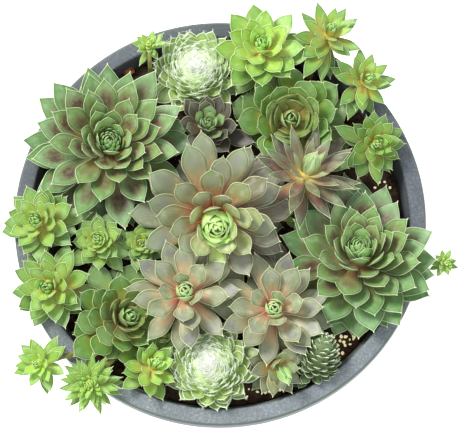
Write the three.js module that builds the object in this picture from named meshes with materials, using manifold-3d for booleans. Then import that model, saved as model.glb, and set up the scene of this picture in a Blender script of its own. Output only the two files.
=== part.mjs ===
// Hens and chicks (houseleeks) growing in a round grey bowl.
// Millimetres, +Z up, origin at the centre of the bowl's flat foot, +X to the right, +Y to the back.
import * as THREE from "three";
import { mergeVertices } from "three/addons/utils/BufferGeometryUtils.js";
import Module from "manifold-3d";

const wasm = await Module();
wasm.setup();

// ---------------------------------------------------------------- driving dimensions

const POT = {
  rimRadius: 125,
  rimWidth: 10,
  height: 105,
  lipHeight: 14,
  lipStep: 5,
  edge: 1.2, // small chamfer on every corner of the lip
  footRadius: 86,
  wall: 6,
  floor: 8,
  sides: 40,
  drains: 3,
  drainRadius: 5,
  drainCircle: 45,
};
const SOIL = { edgeHeight: 91, mound: 6, gap: 0.4, holeDepth: 12, sides: 20 };
const STEM = { sides: 5, widest: 3.6, hubShare: 0.55, runnerArch: 5 };

const GOLDEN_ANGLE = 137.508; // degrees from each leaf to the next, up the core
const LEAN_AT_BASE = 0.3; // share of a plant's lean that its lowest whorl already has
const HEART = { width: 0.42, length: 0.3 }; // of the last leaf, as shares of the first leaf's
const THICKNESS = 0.15; // of a leaf, as a share of its width
const THINNEST = 1.1;

const CLEARANCE = 0.4; // kept between the leaves of neighbouring plants
const DROOP_OR_LIFT = [0, 4, -4, 8, -8, 12, -12, 17, 22, -17, 28, 35, 43]; // degrees, for a blocked leaf
const SHORTER = [1, 0.86, 0.72, 0.58]; // shares of its length tried after that

// The core that a plant's leaves grow from: rings are the places of its corners up its height, closing
// says how far it narrows to the top, leafy is the share of its height that bears leaves, and the
// leaf roots start inside it at the share root of its radius.
const CORES = {
  dome: { sides: 8, rings: [0.05, 0.6, 0.95], closing: 0.98, leafy: 0.95, root: 0.84 },
  spindle: { sides: 5, rings: [0.1, 0.95], closing: 0.88, leafy: 0.85, root: 0.6 },
};
const coreOf = (plant) => (plant.form === "scale" ? CORES.dome : CORES.spindle);

// Leaf outlines between root and tip: [place along the leaf, share of its width, share of its thickness].
const FORMS = {
  blade: [[0.62, 1, 1], [0.88, 0.66, 0.7]],
  spoon: [[0.66, 1, 1], [0.9, 0.74, 0.6]],
  short: [[0.5, 1, 1], [0.84, 0.72, 0.7]],
  slim: [[0.5, 1, 1]],
  scale: [[0.6, 1, 0.9]],
};

// What plants of a kind share. form names the leaf's outline, tall and hub are the height and radius of
// the core, reach is the length of the lowest leaves from its axis, and pitch and curl are the rise
// and the bend of [the lowest leaf, the heart leaf]. The higher fade is, the later leaves rise and shrink.
const KINDS = {
  blotched: { form: "blade", tall: 15, hub: 9, width: 16.5, pitch: [6, 86], curl: [8, 26], fade: 1.35 },
  star: {
    form: "blade", leaves: 23, tall: 13, hub: 5, reach: 37, width: 12, pitch: [7, 86], curl: [4, 30],
    fade: 2.4, turn: 1, colour: 0x9a9b7c,
  },
  cobweb: {
    form: "scale", leaves: 51, tall: 14, hub: 17, reach: 29, width: 10.5, pitch: [14, 78], curl: [26, 60],
    fade: 1, phase: 10, colour: 0x86a05e,
  },
  lime: {
    form: "short", tall: 14, hub: 4, width: 11, pitch: [8, 82], curl: [8, 28], fade: 1.5,
    colour: 0x83b040,
  },
  offset: { form: "short", leaves: 18, tall: 14, hub: 3.6, pitch: [10, 82], curl: [8, 26], fade: 1.6 },
  spiky: { form: "slim", pitch: [14, 80], curl: [4, 16], fade: 1.2, colour: 0x93c046 },
};

// The plants, each clear of those before it. at and z place the lowest whorl, lean is [degrees,
// towards], phase is the azimuth of the lowest leaf, and azimuths are those of the leaves that fall
// outside the spiral. foot is where the stem leaves the soil, if not right below.
const PLANTS = [
  {
    name: "star_front_left", ...KINDS.star, at: [-21, -48], z: 112, lean: [4, 90],
    azimuths: [174, 57, -49, -128, 110, 3, -83, 145, -169, 90, 36, -10, -81, 135],
  },
  {
    name: "star_front_middle", ...KINDS.star, at: [32, -57], z: 112, lean: [4, -90],
    azimuths: [150, 15, -98, 108, -28, -159, 75, -57, 47, -127, 1, 179, -58, 95],
  },
  {
    name: "blotched_left", ...KINDS.blotched, at: [-68, 45], z: 104, lean: [6, 10], leaves: 46, reach: 55,
    turn: 1, phase: 5, colour: 0x6f8f55,
  },
  {
    name: "blotched_right", ...KINDS.blotched, at: [84, -27], z: 104, lean: [26, 95], leaves: 42, tall: 17,
    reach: 50, turn: -1, phase: 75, colour: 0x6c8a52,
  },
  {
    name: "taupe_middle", form: "spoon", at: [-4, 3], z: 106, lean: [36, -80], leaves: 36, tall: 33, hub: 8,
    reach: 53, width: 16, pitch: [8, 84], curl: [6, 22], fade: 1.5, turn: 1, phase: 95, colour: 0x9b9a7a,
  },
  {
    name: "bronze_back_right", form: "slim", at: [50, 22], z: 117, lean: [30, 53], leaves: 24, tall: 18,
    hub: 4.5, reach: 36, width: 8.5, pitch: [12, 80], curl: [2, 12], fade: 1.8, turn: -1, phase: 130,
    colour: 0x8c746e,
  },
  {
    name: "green_cup", form: "spoon", at: [43, 62], z: 104, lean: [10, -80], leaves: 30, tall: 15, hub: 8,
    reach: 37, width: 15, pitch: [12, 84], curl: [14, 40], fade: 1.1, turn: 1, phase: 40, colour: 0x4f7a2e,
  },
  {
    name: "dark_front_left", form: "spoon", at: [-61, -62], z: 103, lean: [34, 0], leaves: 28, tall: 20,
    hub: 6, reach: 32, width: 13, pitch: [10, 84], curl: [8, 30], fade: 1.4, turn: -1, phase: 200,
    colour: 0x3f6f33,
  },
  { name: "cobweb_back", ...KINDS.cobweb, at: [-15, 94], z: 103, lean: [4, 90], turn: 1 },
  { name: "cobweb_front", ...KINDS.cobweb, at: [-6, -91], z: 103, lean: [10, 130], turn: -1 },
  {
    name: "lime_back", ...KINDS.lime, at: [25, 104], z: 111, lean: [12, 90], foot: [23, 96], leaves: 24,
    tall: 13, hub: 5, reach: 32, width: 12.5, turn: -1, phase: 100, colour: 0x8fbb45,
  },
  {
    name: "offset_back_right", ...KINDS.offset, at: [65, 112], z: 113, lean: [28, 45], foot: [54, 89],
    reach: 24, width: 8.5, turn: 1, phase: 55, colour: 0x7ba548,
  },
  {
    name: "offset_right_rim", ...KINDS.offset, at: [86, 84], z: 112, lean: [30, 0], foot: [76, 70], reach: 22,
    width: 8, turn: -1, phase: 5, colour: 0x7ba548,
  },
  {
    name: "offset_right", ...KINDS.offset, at: [93, 46], z: 111, lean: [24, -60], reach: 21, width: 8.5,
    turn: 1, phase: 88, colour: 0x7ba548,
  },
  {
    name: "offset_lime_left", ...KINDS.lime, at: [-108, -3], z: 109, lean: [22, 190], foot: [-101, -5],
    leaves: 19, reach: 25.5, turn: 1, phase: 190,
  },
  {
    name: "offset_lime_left_front", ...KINDS.lime, at: [-100, -42], z: 109, lean: [22, 215], foot: [-94, -40],
    leaves: 20, tall: 16, reach: 28, turn: -1, phase: 70,
  },
  {
    name: "offset_olive_left", ...KINDS.lime, at: [-73, -14], z: 107, lean: [8, 180], leaves: 17, tall: 10,
    reach: 19, width: 9.5, turn: 1, phase: 130, colour: 0x76993f,
  },
  {
    name: "offset_small_left", ...KINDS.offset, at: [-48, -15], z: 105, lean: [4, 0], leaves: 12, tall: 8,
    hub: 3, reach: 14, width: 7.5, turn: -1, phase: 150, colour: 0x6f9a3c,
  },
  {
    name: "offset_outside_left", ...KINDS.offset, at: [-106, -88], z: 108, lean: [28, 208], foot: [-70, -77],
    leaves: 17, tall: 12, hub: 3.2, reach: 19, width: 7.5, turn: 1, phase: 60, colour: 0x86b245,
  },
  {
    name: "offset_spiky_front_left", ...KINDS.spiky, at: [-77, -101], z: 110, lean: [18, 235],
    foot: [-62, -82], leaves: 29, tall: 12, hub: 4.4, reach: 20, width: 5, pitch: [8, 82], turn: -1,
    phase: 90, colour: 0x86b245,
  },
  {
    name: "offset_lime_front", ...KINDS.lime, at: [-42, -92], z: 106, lean: [34, 35], leaves: 18, hub: 3.6,
    reach: 22, width: 9, turn: 1, phase: 215,
  },
  {
    name: "small_grey_front", ...KINDS.offset, at: [33, -89], z: 104, lean: [38, -50], leaves: 16, tall: 15,
    reach: 21, width: 9.5, turn: -1, phase: 20, colour: 0x8d9468,
  },
  {
    name: "globe_front_right", form: "scale", at: [56, -87], z: 101, lean: [55, 58], leaves: 46, tall: 27,
    hub: 10.5, reach: 18, width: 8, pitch: [44, 80], curl: [10, 30], fade: 1.1, turn: 1, phase: 0,
    colour: 0x8c9c72,
  },
  {
    name: "offset_stalked_back", ...KINDS.spiky, at: [-43, 105], z: 120, lean: [6, 90], foot: [-43, 91],
    leaves: 14, tall: 8, hub: 2.6, reach: 12, width: 4.2, turn: 1, phase: 165,
  },
  {
    name: "purple_back", ...KINDS.blotched, at: [-8, 57], z: 105, lean: [10, 60], leaves: 14, tall: 10,
    hub: 4, reach: 25, width: 10.5, pitch: [26, 80], turn: 1, phase: 130, colour: 0x4b3f3d,
  },
  {
    name: "offset_outside_right", ...KINDS.spiky, at: [135, -27], z: 107.5, lean: [24, -10], foot: [104, -22],
    leaves: 12, tall: 6, hub: 1.8, reach: 9.5, width: 3.6, turn: -1, phase: 60,
  },
  {
    name: "offset_hidden_front_left", ...KINDS.offset, at: [-33, -71], z: 102, lean: [10, 200], leaves: 8,
    tall: 7, hub: 3, reach: 12, width: 8, pitch: [30, 80], turn: 1, phase: 40, colour: 0x5f8f45,
  },
  {
    name: "offset_tiny_middle", ...KINDS.spiky, at: [39, 3], z: 106, lean: [6, 90], leaves: 7, tall: 5,
    hub: 2, reach: 9, width: 4, pitch: [30, 80], turn: 1, phase: 90, colour: 0x8fae62,
  },
];

// ---------------------------------------------------------------- small tools

const rad = THREE.MathUtils.degToRad;
const vec = (x, y, z) => new THREE.Vector3(x, y, z);
const lerp = THREE.MathUtils.lerp;

// A repeatable number from -1 to 1 for leaf k of a plant.
function wobble(plant, k, salt) {
  const x = Math.sin(plant.reach * 12.9898 + k * 78.233 + salt * 37.719) * 43758.5453;
  return 2 * (x - Math.floor(x)) - 1;
}

// A closed skin that starts at a point, passes through rings of points and ends at a point.
function loft(start, rings, end) {
  const n = rings[0].length;
  const points = [start, ...rings.flat(), end];
  const faces = [];
  for (let r = 0; r <= rings.length; r++) {
    for (let j = 0; j < n; j++) {
      const next = (j + 1) % n;
      const [a, b] = [1 + r * n + j, 1 + r * n + next];
      if (r === 0) faces.push(0, b, a);
      else if (r === rings.length) faces.push(a - n, b - n, points.length - 1);
      if (r > 0 && r < rings.length) faces.push(a - n, b - n, b, a - n, b, a);
    }
  }
  return new wasm.Manifold(
    new wasm.Mesh({
      numProp: 3,
      vertProperties: new Float32Array(points.flatMap((p) => p.toArray())),
      triVerts: new Uint32Array(faces),
    }),
  );
}

// A three.js geometry as a solid.
function solidOf(geometry) {
  geometry.deleteAttribute("normal");
  geometry.deleteAttribute("uv");
  const merged = mergeVertices(geometry, 1e-3);
  return new wasm.Manifold(
    new wasm.Mesh({
      numProp: 3,
      vertProperties: new Float32Array(merged.attributes.position.array),
      triVerts: new Uint32Array(merged.index.array),
    }),
  );
}

// An upright prism, its corners on a circle.
function prism(x, y, low, high, radius, sides) {
  const geometry = new THREE.CylinderGeometry(radius, radius, high - low, sides);
  geometry.rotateX(Math.PI / 2).translate(x, y, (low + high) / 2);
  return solidOf(geometry);
}

// A solid as a named mesh whose own origin is at the given place.
function meshOf(name, solid, colour, roughness, origin) {
  const made = solid.getMesh();
  const geometry = new THREE.BufferGeometry();
  geometry.setAttribute("position", new THREE.BufferAttribute(new Float32Array(made.vertProperties), 3));
  geometry.setIndex(new THREE.BufferAttribute(new Uint32Array(made.triVerts), 1));
  geometry.translate(-origin.x, -origin.y, -origin.z);
  const material = new THREE.MeshStandardMaterial({ color: colour, roughness, metalness: 0 });
  const mesh = new THREE.Mesh(geometry, material);
  mesh.name = name;
  mesh.position.copy(origin);
  return mesh;
}

// A solid with its box, to tell quickly which solids can touch.
function boxed(solid) {
  const { min, max } = solid.boundingBox();
  return { solid, box: new THREE.Box3(vec(...min), vec(...max)) };
}

// ---------------------------------------------------------------- pot and soil

// The inside of the wall, straight between these [height, radius] points.
const WALL = [[POT.floor, 78], [30, 93], [62, 106], [POT.height, POT.rimRadius - POT.rimWidth]];

function innerRadius(z) {
  const k = Math.max(1, WALL.findIndex(([height]) => height >= z));
  const [[z0, r0], [z1, r1]] = [WALL[k - 1], WALL[k]];
  return lerp(r0, r1, (z - z0) / (z1 - z0));
}

function potSolid() {
  const { rimRadius: outer, rimWidth, height, lipHeight, lipStep, edge, footRadius, wall, floor } = POT;
  const under = height - lipHeight;
  const inner = outer - rimWidth;
  const profile = [
    [0, 0],
    [footRadius, 0],
    ...WALL.slice(1, -1).map(([z, r]) => [r + wall, z]),
    [outer - lipStep, under],
    [outer, under + edge],
    [outer, height - edge],
    [outer - edge, height],
    [inner + edge, height],
    [inner, height - edge],
    ...WALL.slice(0, -1).map(([z, r]) => [r, z]).toReversed(),
    [0, floor],
  ].map(([r, z]) => new THREE.Vector2(r, z));
  const body = solidOf(new THREE.LatheGeometry(profile, POT.sides).rotateX(Math.PI / 2));
  const drains = Array.from({ length: POT.drains }, (_, k) => {
    const a = rad(90 + (360 * k) / POT.drains);
    const [x, y] = [POT.drainCircle * Math.cos(a), POT.drainCircle * Math.sin(a)];
    return prism(x, y, -1, floor + 1, POT.drainRadius, 8);
  });
  return body.subtract(wasm.Manifold.union(drains));
}

function soilSolid(holes) {
  const { edgeHeight, mound, gap } = SOIL;
  const low = POT.floor + gap;
  const edgeRadius = innerRadius(edgeHeight) - gap;
  const wallProfile = WALL.slice(1, -1).map(([z, r]) => [r - gap, z]);
  const top = [0.6, 0].map((share) => [edgeRadius * share, edgeHeight + mound * (1 - share * share)]);
  const profile = [[0, low], [innerRadius(low) - gap, low], ...wallProfile, [edgeRadius, edgeHeight], ...top];
  const points = profile.map(([r, z]) => new THREE.Vector2(r, z));
  const body = solidOf(new THREE.LatheGeometry(points, SOIL.sides).rotateX(Math.PI / 2));
  return body.subtract(wasm.Manifold.union(holes));
}

function soilTop(x, y) {
  const share = Math.hypot(x, y) / innerRadius(SOIL.edgeHeight);
  return SOIL.edgeHeight + SOIL.mound * (1 - share * share);
}

// ---------------------------------------------------------------- plants

// A point and a frame on a plant's leaning axis, a given length up from its lowest whorl. The axis is
// an arc: it leans a little at the whorl and fully at the heart.
function axisAt(plant, length) {
  const [lean, towards] = plant.lean.map(rad);
  const start = lean * LEAN_AT_BASE;
  const bend = (lean - start) / plant.tall;
  const angle = start + bend * length;
  const out = (Math.cos(start) - Math.cos(angle)) / bend;
  const rise = (Math.sin(angle) - Math.sin(start)) / bend;
  const side = vec(Math.cos(towards), Math.sin(towards), 0);
  const point = vec(plant.at[0], plant.at[1], plant.z + rise).addScaledVector(side, out);
  const hinge = vec(-side.y, side.x, 0);
  return { point, turn: new THREE.Quaternion().setFromAxisAngle(hinge, angle) };
}

// Radius of the core at a share of its height: nearly upright low down, closing to a bud.
const coreRadius = (plant, share) => plant.hub * Math.sqrt(1 - coreOf(plant).closing * share * share);

// Sizes and place of leaf k, counted from the lowest leaf to the heart.
function leafOf(plant, k) {
  const s = k / (plant.leaves - 1);
  const listed = plant.azimuths ?? [];
  const first = listed.length ? listed[listed.length - 1] : plant.phase;
  const steps = listed.length ? k - listed.length + 1 : k;
  const azimuth = listed[k] ?? first + plant.turn * GOLDEN_ANGLE * steps + 5 * wobble(plant, k, 1);
  const late = Math.pow(s, plant.fade);
  const height = coreOf(plant).leafy * s;
  const { point, turn } = axisAt(plant, plant.tall * height);
  const out = vec(Math.cos(rad(azimuth)), Math.sin(rad(azimuth)), 0).applyQuaternion(turn);
  const up = vec(0, 0, 1).applyQuaternion(turn);
  const depth = coreOf(plant).root;
  const width = plant.width * lerp(1, HEART.width, late) * (1 + 0.06 * wobble(plant, k, 2));
  const free = plant.reach - plant.hub * depth;
  return {
    root: point.clone().addScaledVector(out, coreRadius(plant, height) * depth),
    out,
    up,
    pitch: lerp(plant.pitch[0], plant.pitch[1], late) + 3 * wobble(plant, k, 3) * (1 - s),
    curl: lerp(plant.curl[0], plant.curl[1], s),
    length: free * lerp(1, HEART.length, late) * (1 + 0.05 * wobble(plant, k, 4)),
    width,
    thickness: Math.max(THINNEST, width * THICKNESS),
  };
}

// A place along a leaf's middle line, an arc that starts at its pitch and turns by its curl.
function alongLeaf(leaf, t) {
  const start = rad(leaf.pitch);
  const bend = rad(leaf.curl);
  const angle = start + bend * t;
  const out = (leaf.length * (Math.sin(angle) - Math.sin(start))) / bend;
  const rise = (leaf.length * (Math.cos(start) - Math.cos(angle))) / bend;
  return {
    point: leaf.root.clone().addScaledVector(leaf.out, out).addScaledVector(leaf.up, rise),
    normal: leaf.up.clone().multiplyScalar(Math.cos(angle)).addScaledVector(leaf.out, -Math.sin(angle)),
  };
}

// A leaf: flat on its upper face, keeled below, drawn to a point.
function leafSolid(leaf, form) {
  const side = leaf.out.clone().cross(leaf.up);
  const rings = FORMS[form].map(([t, wide, thick]) => {
    const { point, normal } = alongLeaf(leaf, t);
    const half = (leaf.width * wide) / 2;
    return [
      point.clone().addScaledVector(side, half),
      point.clone().addScaledVector(normal, -leaf.thickness * thick),
      point.clone().addScaledVector(side, -half),
    ];
  });
  return loft(leaf.root, rings, alongLeaf(leaf, 1).point);
}

// The same leaf with a clear space all round it, which no other plant may enter.
function leafRoom(leaf, form) {
  const side = leaf.out.clone().cross(leaf.up);
  const rings = FORMS[form].map(([t, wide, thick]) => {
    const { point, normal } = alongLeaf(leaf, t);
    const half = (leaf.width * wide) / 2 + CLEARANCE;
    const corner = (across, above) =>
      point.clone().addScaledVector(side, across).addScaledVector(normal, above);
    return [
      corner(half, CLEARANCE),
      corner(half, -CLEARANCE),
      corner(0, -leaf.thickness * thick - CLEARANCE),
      corner(-half, -CLEARANCE),
      corner(-half, CLEARANCE),
    ];
  });
  return loft(leaf.root, rings, alongLeaf(leaf, 1 + (2 * CLEARANCE) / leaf.length).point);
}

// The short core that the leaf roots are sunk in.
function hubSolid(plant) {
  const { sides, rings: shares } = coreOf(plant);
  const rings = shares.map((share) => {
    const { point, turn } = axisAt(plant, plant.tall * share);
    const radius = coreRadius(plant, share);
    return Array.from({ length: sides }, (_, j) => {
      const a = (2 * Math.PI * j) / sides;
      return vec(Math.cos(a), Math.sin(a), 0).multiplyScalar(radius).applyQuaternion(turn).add(point);
    });
  });
  return loft(axisAt(plant, -0.4 * plant.tall).point, rings, axisAt(plant, plant.tall * 1.05).point);
}

const footOf = (plant) => plant.foot ?? plant.at;
const stemRadius = (plant) => Math.min(STEM.widest, plant.hub * STEM.hubShare);

// The stem: upright in its hole in the soil, then up to the core, or over in an arch as a runner.
function stemSolid(plant) {
  const [x, y] = footOf(plant);
  const radius = stemRadius(plant);
  const ground = soilTop(x, y);
  const low = prism(x, y, ground - SOIL.holeDepth, ground + 2, radius, STEM.sides);
  const top = vec(...plant.at, plant.z);
  const start = vec(x, y, ground + 1);
  const arch = plant.foot ? STEM.runnerArch : 0;
  const over = start.clone().lerp(top, 0.6).setZ(plant.z + arch / 2);
  const curve = new THREE.CubicBezierCurve3(start, vec(x, y, plant.z + arch), over, top);
  const steps = plant.foot ? 4 : 1;
  const frames = curve.computeFrenetFrames(steps);
  const rings = curve.getPoints(steps).map((p, i) =>
    Array.from({ length: STEM.sides }, (_, j) => {
      const a = (2 * Math.PI * j) / STEM.sides;
      return p
        .clone()
        .addScaledVector(frames.normals[i], Math.cos(a) * radius)
        .addScaledVector(frames.binormals[i], Math.sin(a) * radius);
    }),
  );
  return low.add(loft(start, rings, top));
}

function stemHole(plant) {
  const [x, y] = footOf(plant);
  const ground = soilTop(x, y);
  const bottom = ground - SOIL.holeDepth - SOIL.gap;
  return prism(x, y, bottom, ground + SOIL.mound, stemRadius(plant) + SOIL.gap, STEM.sides);
}

// ---------------------------------------------------------------- fitting the plants together

const pot = potSolid();
const soil = soilSolid(PLANTS.map(stemHole));
const ground = [boxed(pot), boxed(soil)];
const bodies = new Map(PLANTS.map((plant) => [plant.name, [hubSolid(plant), stemSolid(plant)].map(boxed)]));

function isClear(room, plant) {
  const { solid, box } = boxed(room);
  const others = [...bodies].filter(([name]) => name !== plant.name).flatMap(([, solids]) => solids);
  return [...others, ...ground].every((other) => {
    if (!box.intersectsBox(other.box)) return true;
    const common = solid.intersect(other.solid);
    const clear = common.isEmpty();
    common.delete();
    return clear;
  });
}

// Leaf k as it can grow: a blocked leaf is bent up or down, then tried shorter, and else left out.
function settledLeaf(plant, k) {
  const free = leafOf(plant, k);
  for (const share of SHORTER) {
    for (const lift of DROOP_OR_LIFT) {
      const leaf = { ...free, pitch: free.pitch + lift, length: free.length * share };
      const room = leafRoom(leaf, plant.form);
      const clear = isClear(room, plant);
      room.delete();
      if (clear) return leafSolid(leaf, plant.form);
    }
  }
  return null;
}

// The largest body of a solid: loose scraps go, and a hollow that the fusing sealed is filled.
function wholeBody(solid) {
  return solid.decompose().reduce((best, body) => (body.volume() > best.volume() ? body : best));
}

const planting = new THREE.Group();
for (const plant of PLANTS) {
  const own = bodies.get(plant.name);
  for (let k = 0; k < plant.leaves; k++) {
    const leaf = settledLeaf(plant, k);
    if (leaf) own.push(boxed(leaf));
  }
  const fused = wholeBody(wasm.Manifold.union(own.map(({ solid }) => solid)));
  planting.add(meshOf(plant.name, fused, plant.colour, 0.55, vec(plant.at[0], plant.at[1], plant.z)));
}

const model = new THREE.Group();
model.add(meshOf("pot", pot, 0x80828a, 0.6, vec(0, 0, 0)));
model.add(meshOf("soil", soil, 0x1d1512, 0.95, vec(0, 0, 0)));
model.add(planting);

export default model;
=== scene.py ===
from math import atan2, cos, degrees, hypot, pi, radians, sin, sqrt

import bmesh
import bpy
import numpy as np
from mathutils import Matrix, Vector
from mathutils.bvhtree import BVHTree
from mathutils.kdtree import KDTree


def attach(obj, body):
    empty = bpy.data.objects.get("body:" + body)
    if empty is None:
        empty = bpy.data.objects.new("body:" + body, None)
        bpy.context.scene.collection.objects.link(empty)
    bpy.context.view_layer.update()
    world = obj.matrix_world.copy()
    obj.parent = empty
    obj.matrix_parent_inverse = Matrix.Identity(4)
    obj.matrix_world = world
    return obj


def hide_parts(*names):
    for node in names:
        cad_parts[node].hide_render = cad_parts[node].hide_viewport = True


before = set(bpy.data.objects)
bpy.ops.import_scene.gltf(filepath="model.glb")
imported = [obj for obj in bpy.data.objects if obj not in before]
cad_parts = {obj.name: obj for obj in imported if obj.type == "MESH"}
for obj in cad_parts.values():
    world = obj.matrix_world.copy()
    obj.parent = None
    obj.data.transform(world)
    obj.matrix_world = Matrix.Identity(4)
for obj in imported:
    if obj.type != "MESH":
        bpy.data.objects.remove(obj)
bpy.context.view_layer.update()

MM = 0.001
BODY = "root"

# ---------------------------------------------------------------- sizes that the frame's solids have

POT = dict(
    rim_radius=125, rim_width=10, height=105, lip_height=14, lip_step=5, edge=1.6, foot_radius=86, wall=6,
    floor=8, drains=3, drain_radius=5, drain_circle=45,
)
WALL = [(POT["floor"], 78), (30, 93), (62, 106), (POT["height"], POT["rim_radius"] - POT["rim_width"])]
SOIL = dict(edge_height=91, mound=6, gap=0.4)
STEM = dict(widest=3.6, hub_share=0.55, runner_arch=5, sunk=3)

GOLDEN_ANGLE = 137.508
# The share of a core's lean that it has at its base, and the inmost leaves' size as shares of the outermost.
LEAN_AT_BASE = 0.3
HEART = dict(width=0.42, length=0.3)
# A leaf's thickness as a share of its width, and in millimetres at the least.
THICKNESS = 0.15
THINNEST = 1.1
# The radius that the outermost and the inmost leaves are cupped to.
WRAP = (60, 7)
# By how much leaves differ from each other, in degrees or as a share.
CHANCE = dict(azimuth=5, pitch=3, width=0.06, length=0.05)
# The bends, in degrees, and the lengths, as shares, that a leaf tries until it is clear of the others. How
# close a try's corners have to come to the solid's, in millimetres, to be the same leaf.
DROOP_OR_LIFT = [0, 4, -4, 8, -8, 12, -12, 17, 22, -17, 28, 35, 43]
SHORTER = [1, 0.86, 0.72, 0.58]
CORNER_SLACK = 0.03
# From this age on, the closed bud stands in for the frame's leaves.
CLOSED = 0.86
# A leaf's number seeds its own small differences. These groups are numbered from here, the frame's from 0.
FIRST = dict(filler=500, extra=700, bud=900, cover=1000)
# Old leaves under the others: the lowest age, how many degrees lower they grow for each 1 below age 0, the
# longer lengths they may have, and how far out and how high above the lowest whorl their tips may lie.
LOW_LEAF = dict(age=-0.32, drop=60, shares=[1.25, 1.1], within=106, highest=3)
# Where finer leaves are tried: steps of azimuth, and how many radians a whole core's height counts for.
GAPS = dict(step=4, height=5.0)
# A finer leaf's room: its rings' places along the leaf and their corners, how much wider and higher it is
# than the leaf, and how far it stays over the soil from ring number first on.
ROOM = dict(
    places=[0.12, 0.35, 0.55, 0.72, 0.88, 1.0], corners=4, wider=0.3, higher=0.5, over_soil=0.5, first=2,
)
# The camera leans back, so a plant also hides what lies this far behind it.
HIDDEN_BEHIND = 12
# Long old leaves lie over soil that still shows, where at least fewest points of a grid with this step lie
# closer than crowd to a place. longest is their reach as a share of the other leaves', shortest is a share
# of the plant's reach, broad is a factor on their width, past is how far they go past the place, and apart
# is how far their tips keep from each other. lifts and shares are the bends and lengths tried, plants is
# how many plants are asked. Those of the forms in without have none, nor have those outside within.
COVER = dict(
    step=3, crowd=7, fewest=3, age=-0.14, longest=1.45, shortest=0.6, broad=1.15, past=4, apart=7,
    lifts=[0, -4, 4, -8, 8, 12], shares=[1, 0.88, 0.76], plants=4, within=125, without=("scale", "slim"),
)
# Places that certain plants reach with such a leaf.
WANTED = dict(
    blotched_right=[(84, -76), (99, -64)],
    dark_front_left=[(-83, -78), (-76, -84), (-63, -91), (-86, -68)],
)
# Soil stays bare in these circles: x, y, radius.
BARE = [(-53, 98, 8), (98, 26, 6), (75, -77, 10), (32, -110, 8), (-92, -63, 7), (-29, -110, 5)]
# The core closes towards its top as closing says. leafy is the share of it that has leaves, and root is the
# share of its radius at which leaves start.
CORES = dict(
    dome=dict(closing=0.98, leafy=0.95, root=0.84),
    spindle=dict(closing=0.88, leafy=0.85, root=0.6),
)

# The closed bud's leaves, from the outermost to the inmost: how far up the core they grow; the places of
# their roots, the radius they are cupped to and their width, as shares of the bud's radius; the share of
# the heart's height that they reach; and their age. Then the outermost tips' place and bend where the bud
# is open and where it is closed, and the inmost leaf's.
BUD = dict(
    low=(0.72, 0.98), root=(0.5, 0.05), wrap=(0.85, 0.3), width=(1, 0.45), rise=(0.85, 1), age=(0.88, 1),
    tip=(0.95, 0.5), inmost_tip=0.04, bend=(24, 84), inmost_bend=50,
)
# The fine core's rings and points, how far it goes on below the lowest whorl and how thick it is there, and
# the share of the solid's radius that it and the stem have.
FINE_CORE = dict(rings=9, around=16, below=0.3, foot=0.4, share=0.97, stem_share=0.92)

# What a plant's facts say:
# at, z        the middle of its lowest whorl;       foot      where its runner comes out of the soil
# lean         the angle that its core leans at its top, and the azimuth it leans towards
# tall, hub    the core's length and radius;         leaves    how many leaves the frame's solid has
# reach        from the core's middle to the outermost tips;   width   of the widest leaves
# pitch, curl  the rise and the bend of the outermost and of the inmost leaves, in degrees
# fade         how late the leaves get smaller;      turn      the way that their spiral runs
# phase        the first leaf's azimuth;             azimuths  of the first leaves, one by one, instead
# form, drawn  the outline of the frame's leaves, and of the finer ones where it is another
# fill         how many finer leaves are tried between the frame's;   paint   its colours in PAINTS
# bud          the closed bud's radius, number of leaves, their width as a share of the radius, and how far
#              they close, from 0 to 1
# broad        a factor on all widths;               inner_broad   one on the inner leaves only
# flare        bends leaves out;                     until     the age from which it has only extra leaves
# blush, clean  an azimuth and a strength: leaves on that side get the paint's variant, or
#              lose blotches; on the blotched plants that pale mint variant is painted sheen, on taupe_middle
#              its plum is the leaves' own colour
# extra        single leaves: share of the way up, azimuth, length, width, pitch, curl, and age for colour
KINDS = dict(
    blotched=dict(
        form="blade", tall=15, hub=9, width=16.5, pitch=(6, 86), curl=(8, 26), fade=1.35, paint="blotched",
    ),
    star=dict(
        form="blade", leaves=23, tall=13, hub=5, reach=37, width=12, pitch=(7, 86), curl=(4, 30), fade=2.4,
        turn=1, paint="star", fill=2, bud=(7.4, 11, 1.35, 0.88), inner_broad=1.3,
    ),
    cobweb=dict(
        form="scale", leaves=51, tall=14, hub=17, reach=29, width=10.5, pitch=(14, 78), curl=(26, 60),
        fade=1, phase=10, paint="cobweb", fill=55, bud=(8, 30, 0.9, 0.5), drawn="diamond",
    ),
    lime=dict(
        form="short", tall=14, hub=4, width=11, pitch=(8, 82), curl=(8, 28), fade=1.5, paint="lime", fill=14,
        bud=(4.8, 12, 0.85, 0.7),
    ),
    offset=dict(
        form="short", leaves=18, tall=14, hub=3.6, pitch=(10, 82), curl=(8, 26), fade=1.6, paint="offset",
        fill=14, bud=(3.8, 10, 0.85, 0.7),
    ),
    spiky=dict(
        form="slim", pitch=(14, 80), curl=(4, 16), fade=1.2, paint="fresh", fill=6, bud=(2, 6, 0.7, 0.3),
    ),
)


def plant(name, kind=None, **facts):
    return {**KINDS.get(kind, {}), "name": name, **facts}


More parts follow.
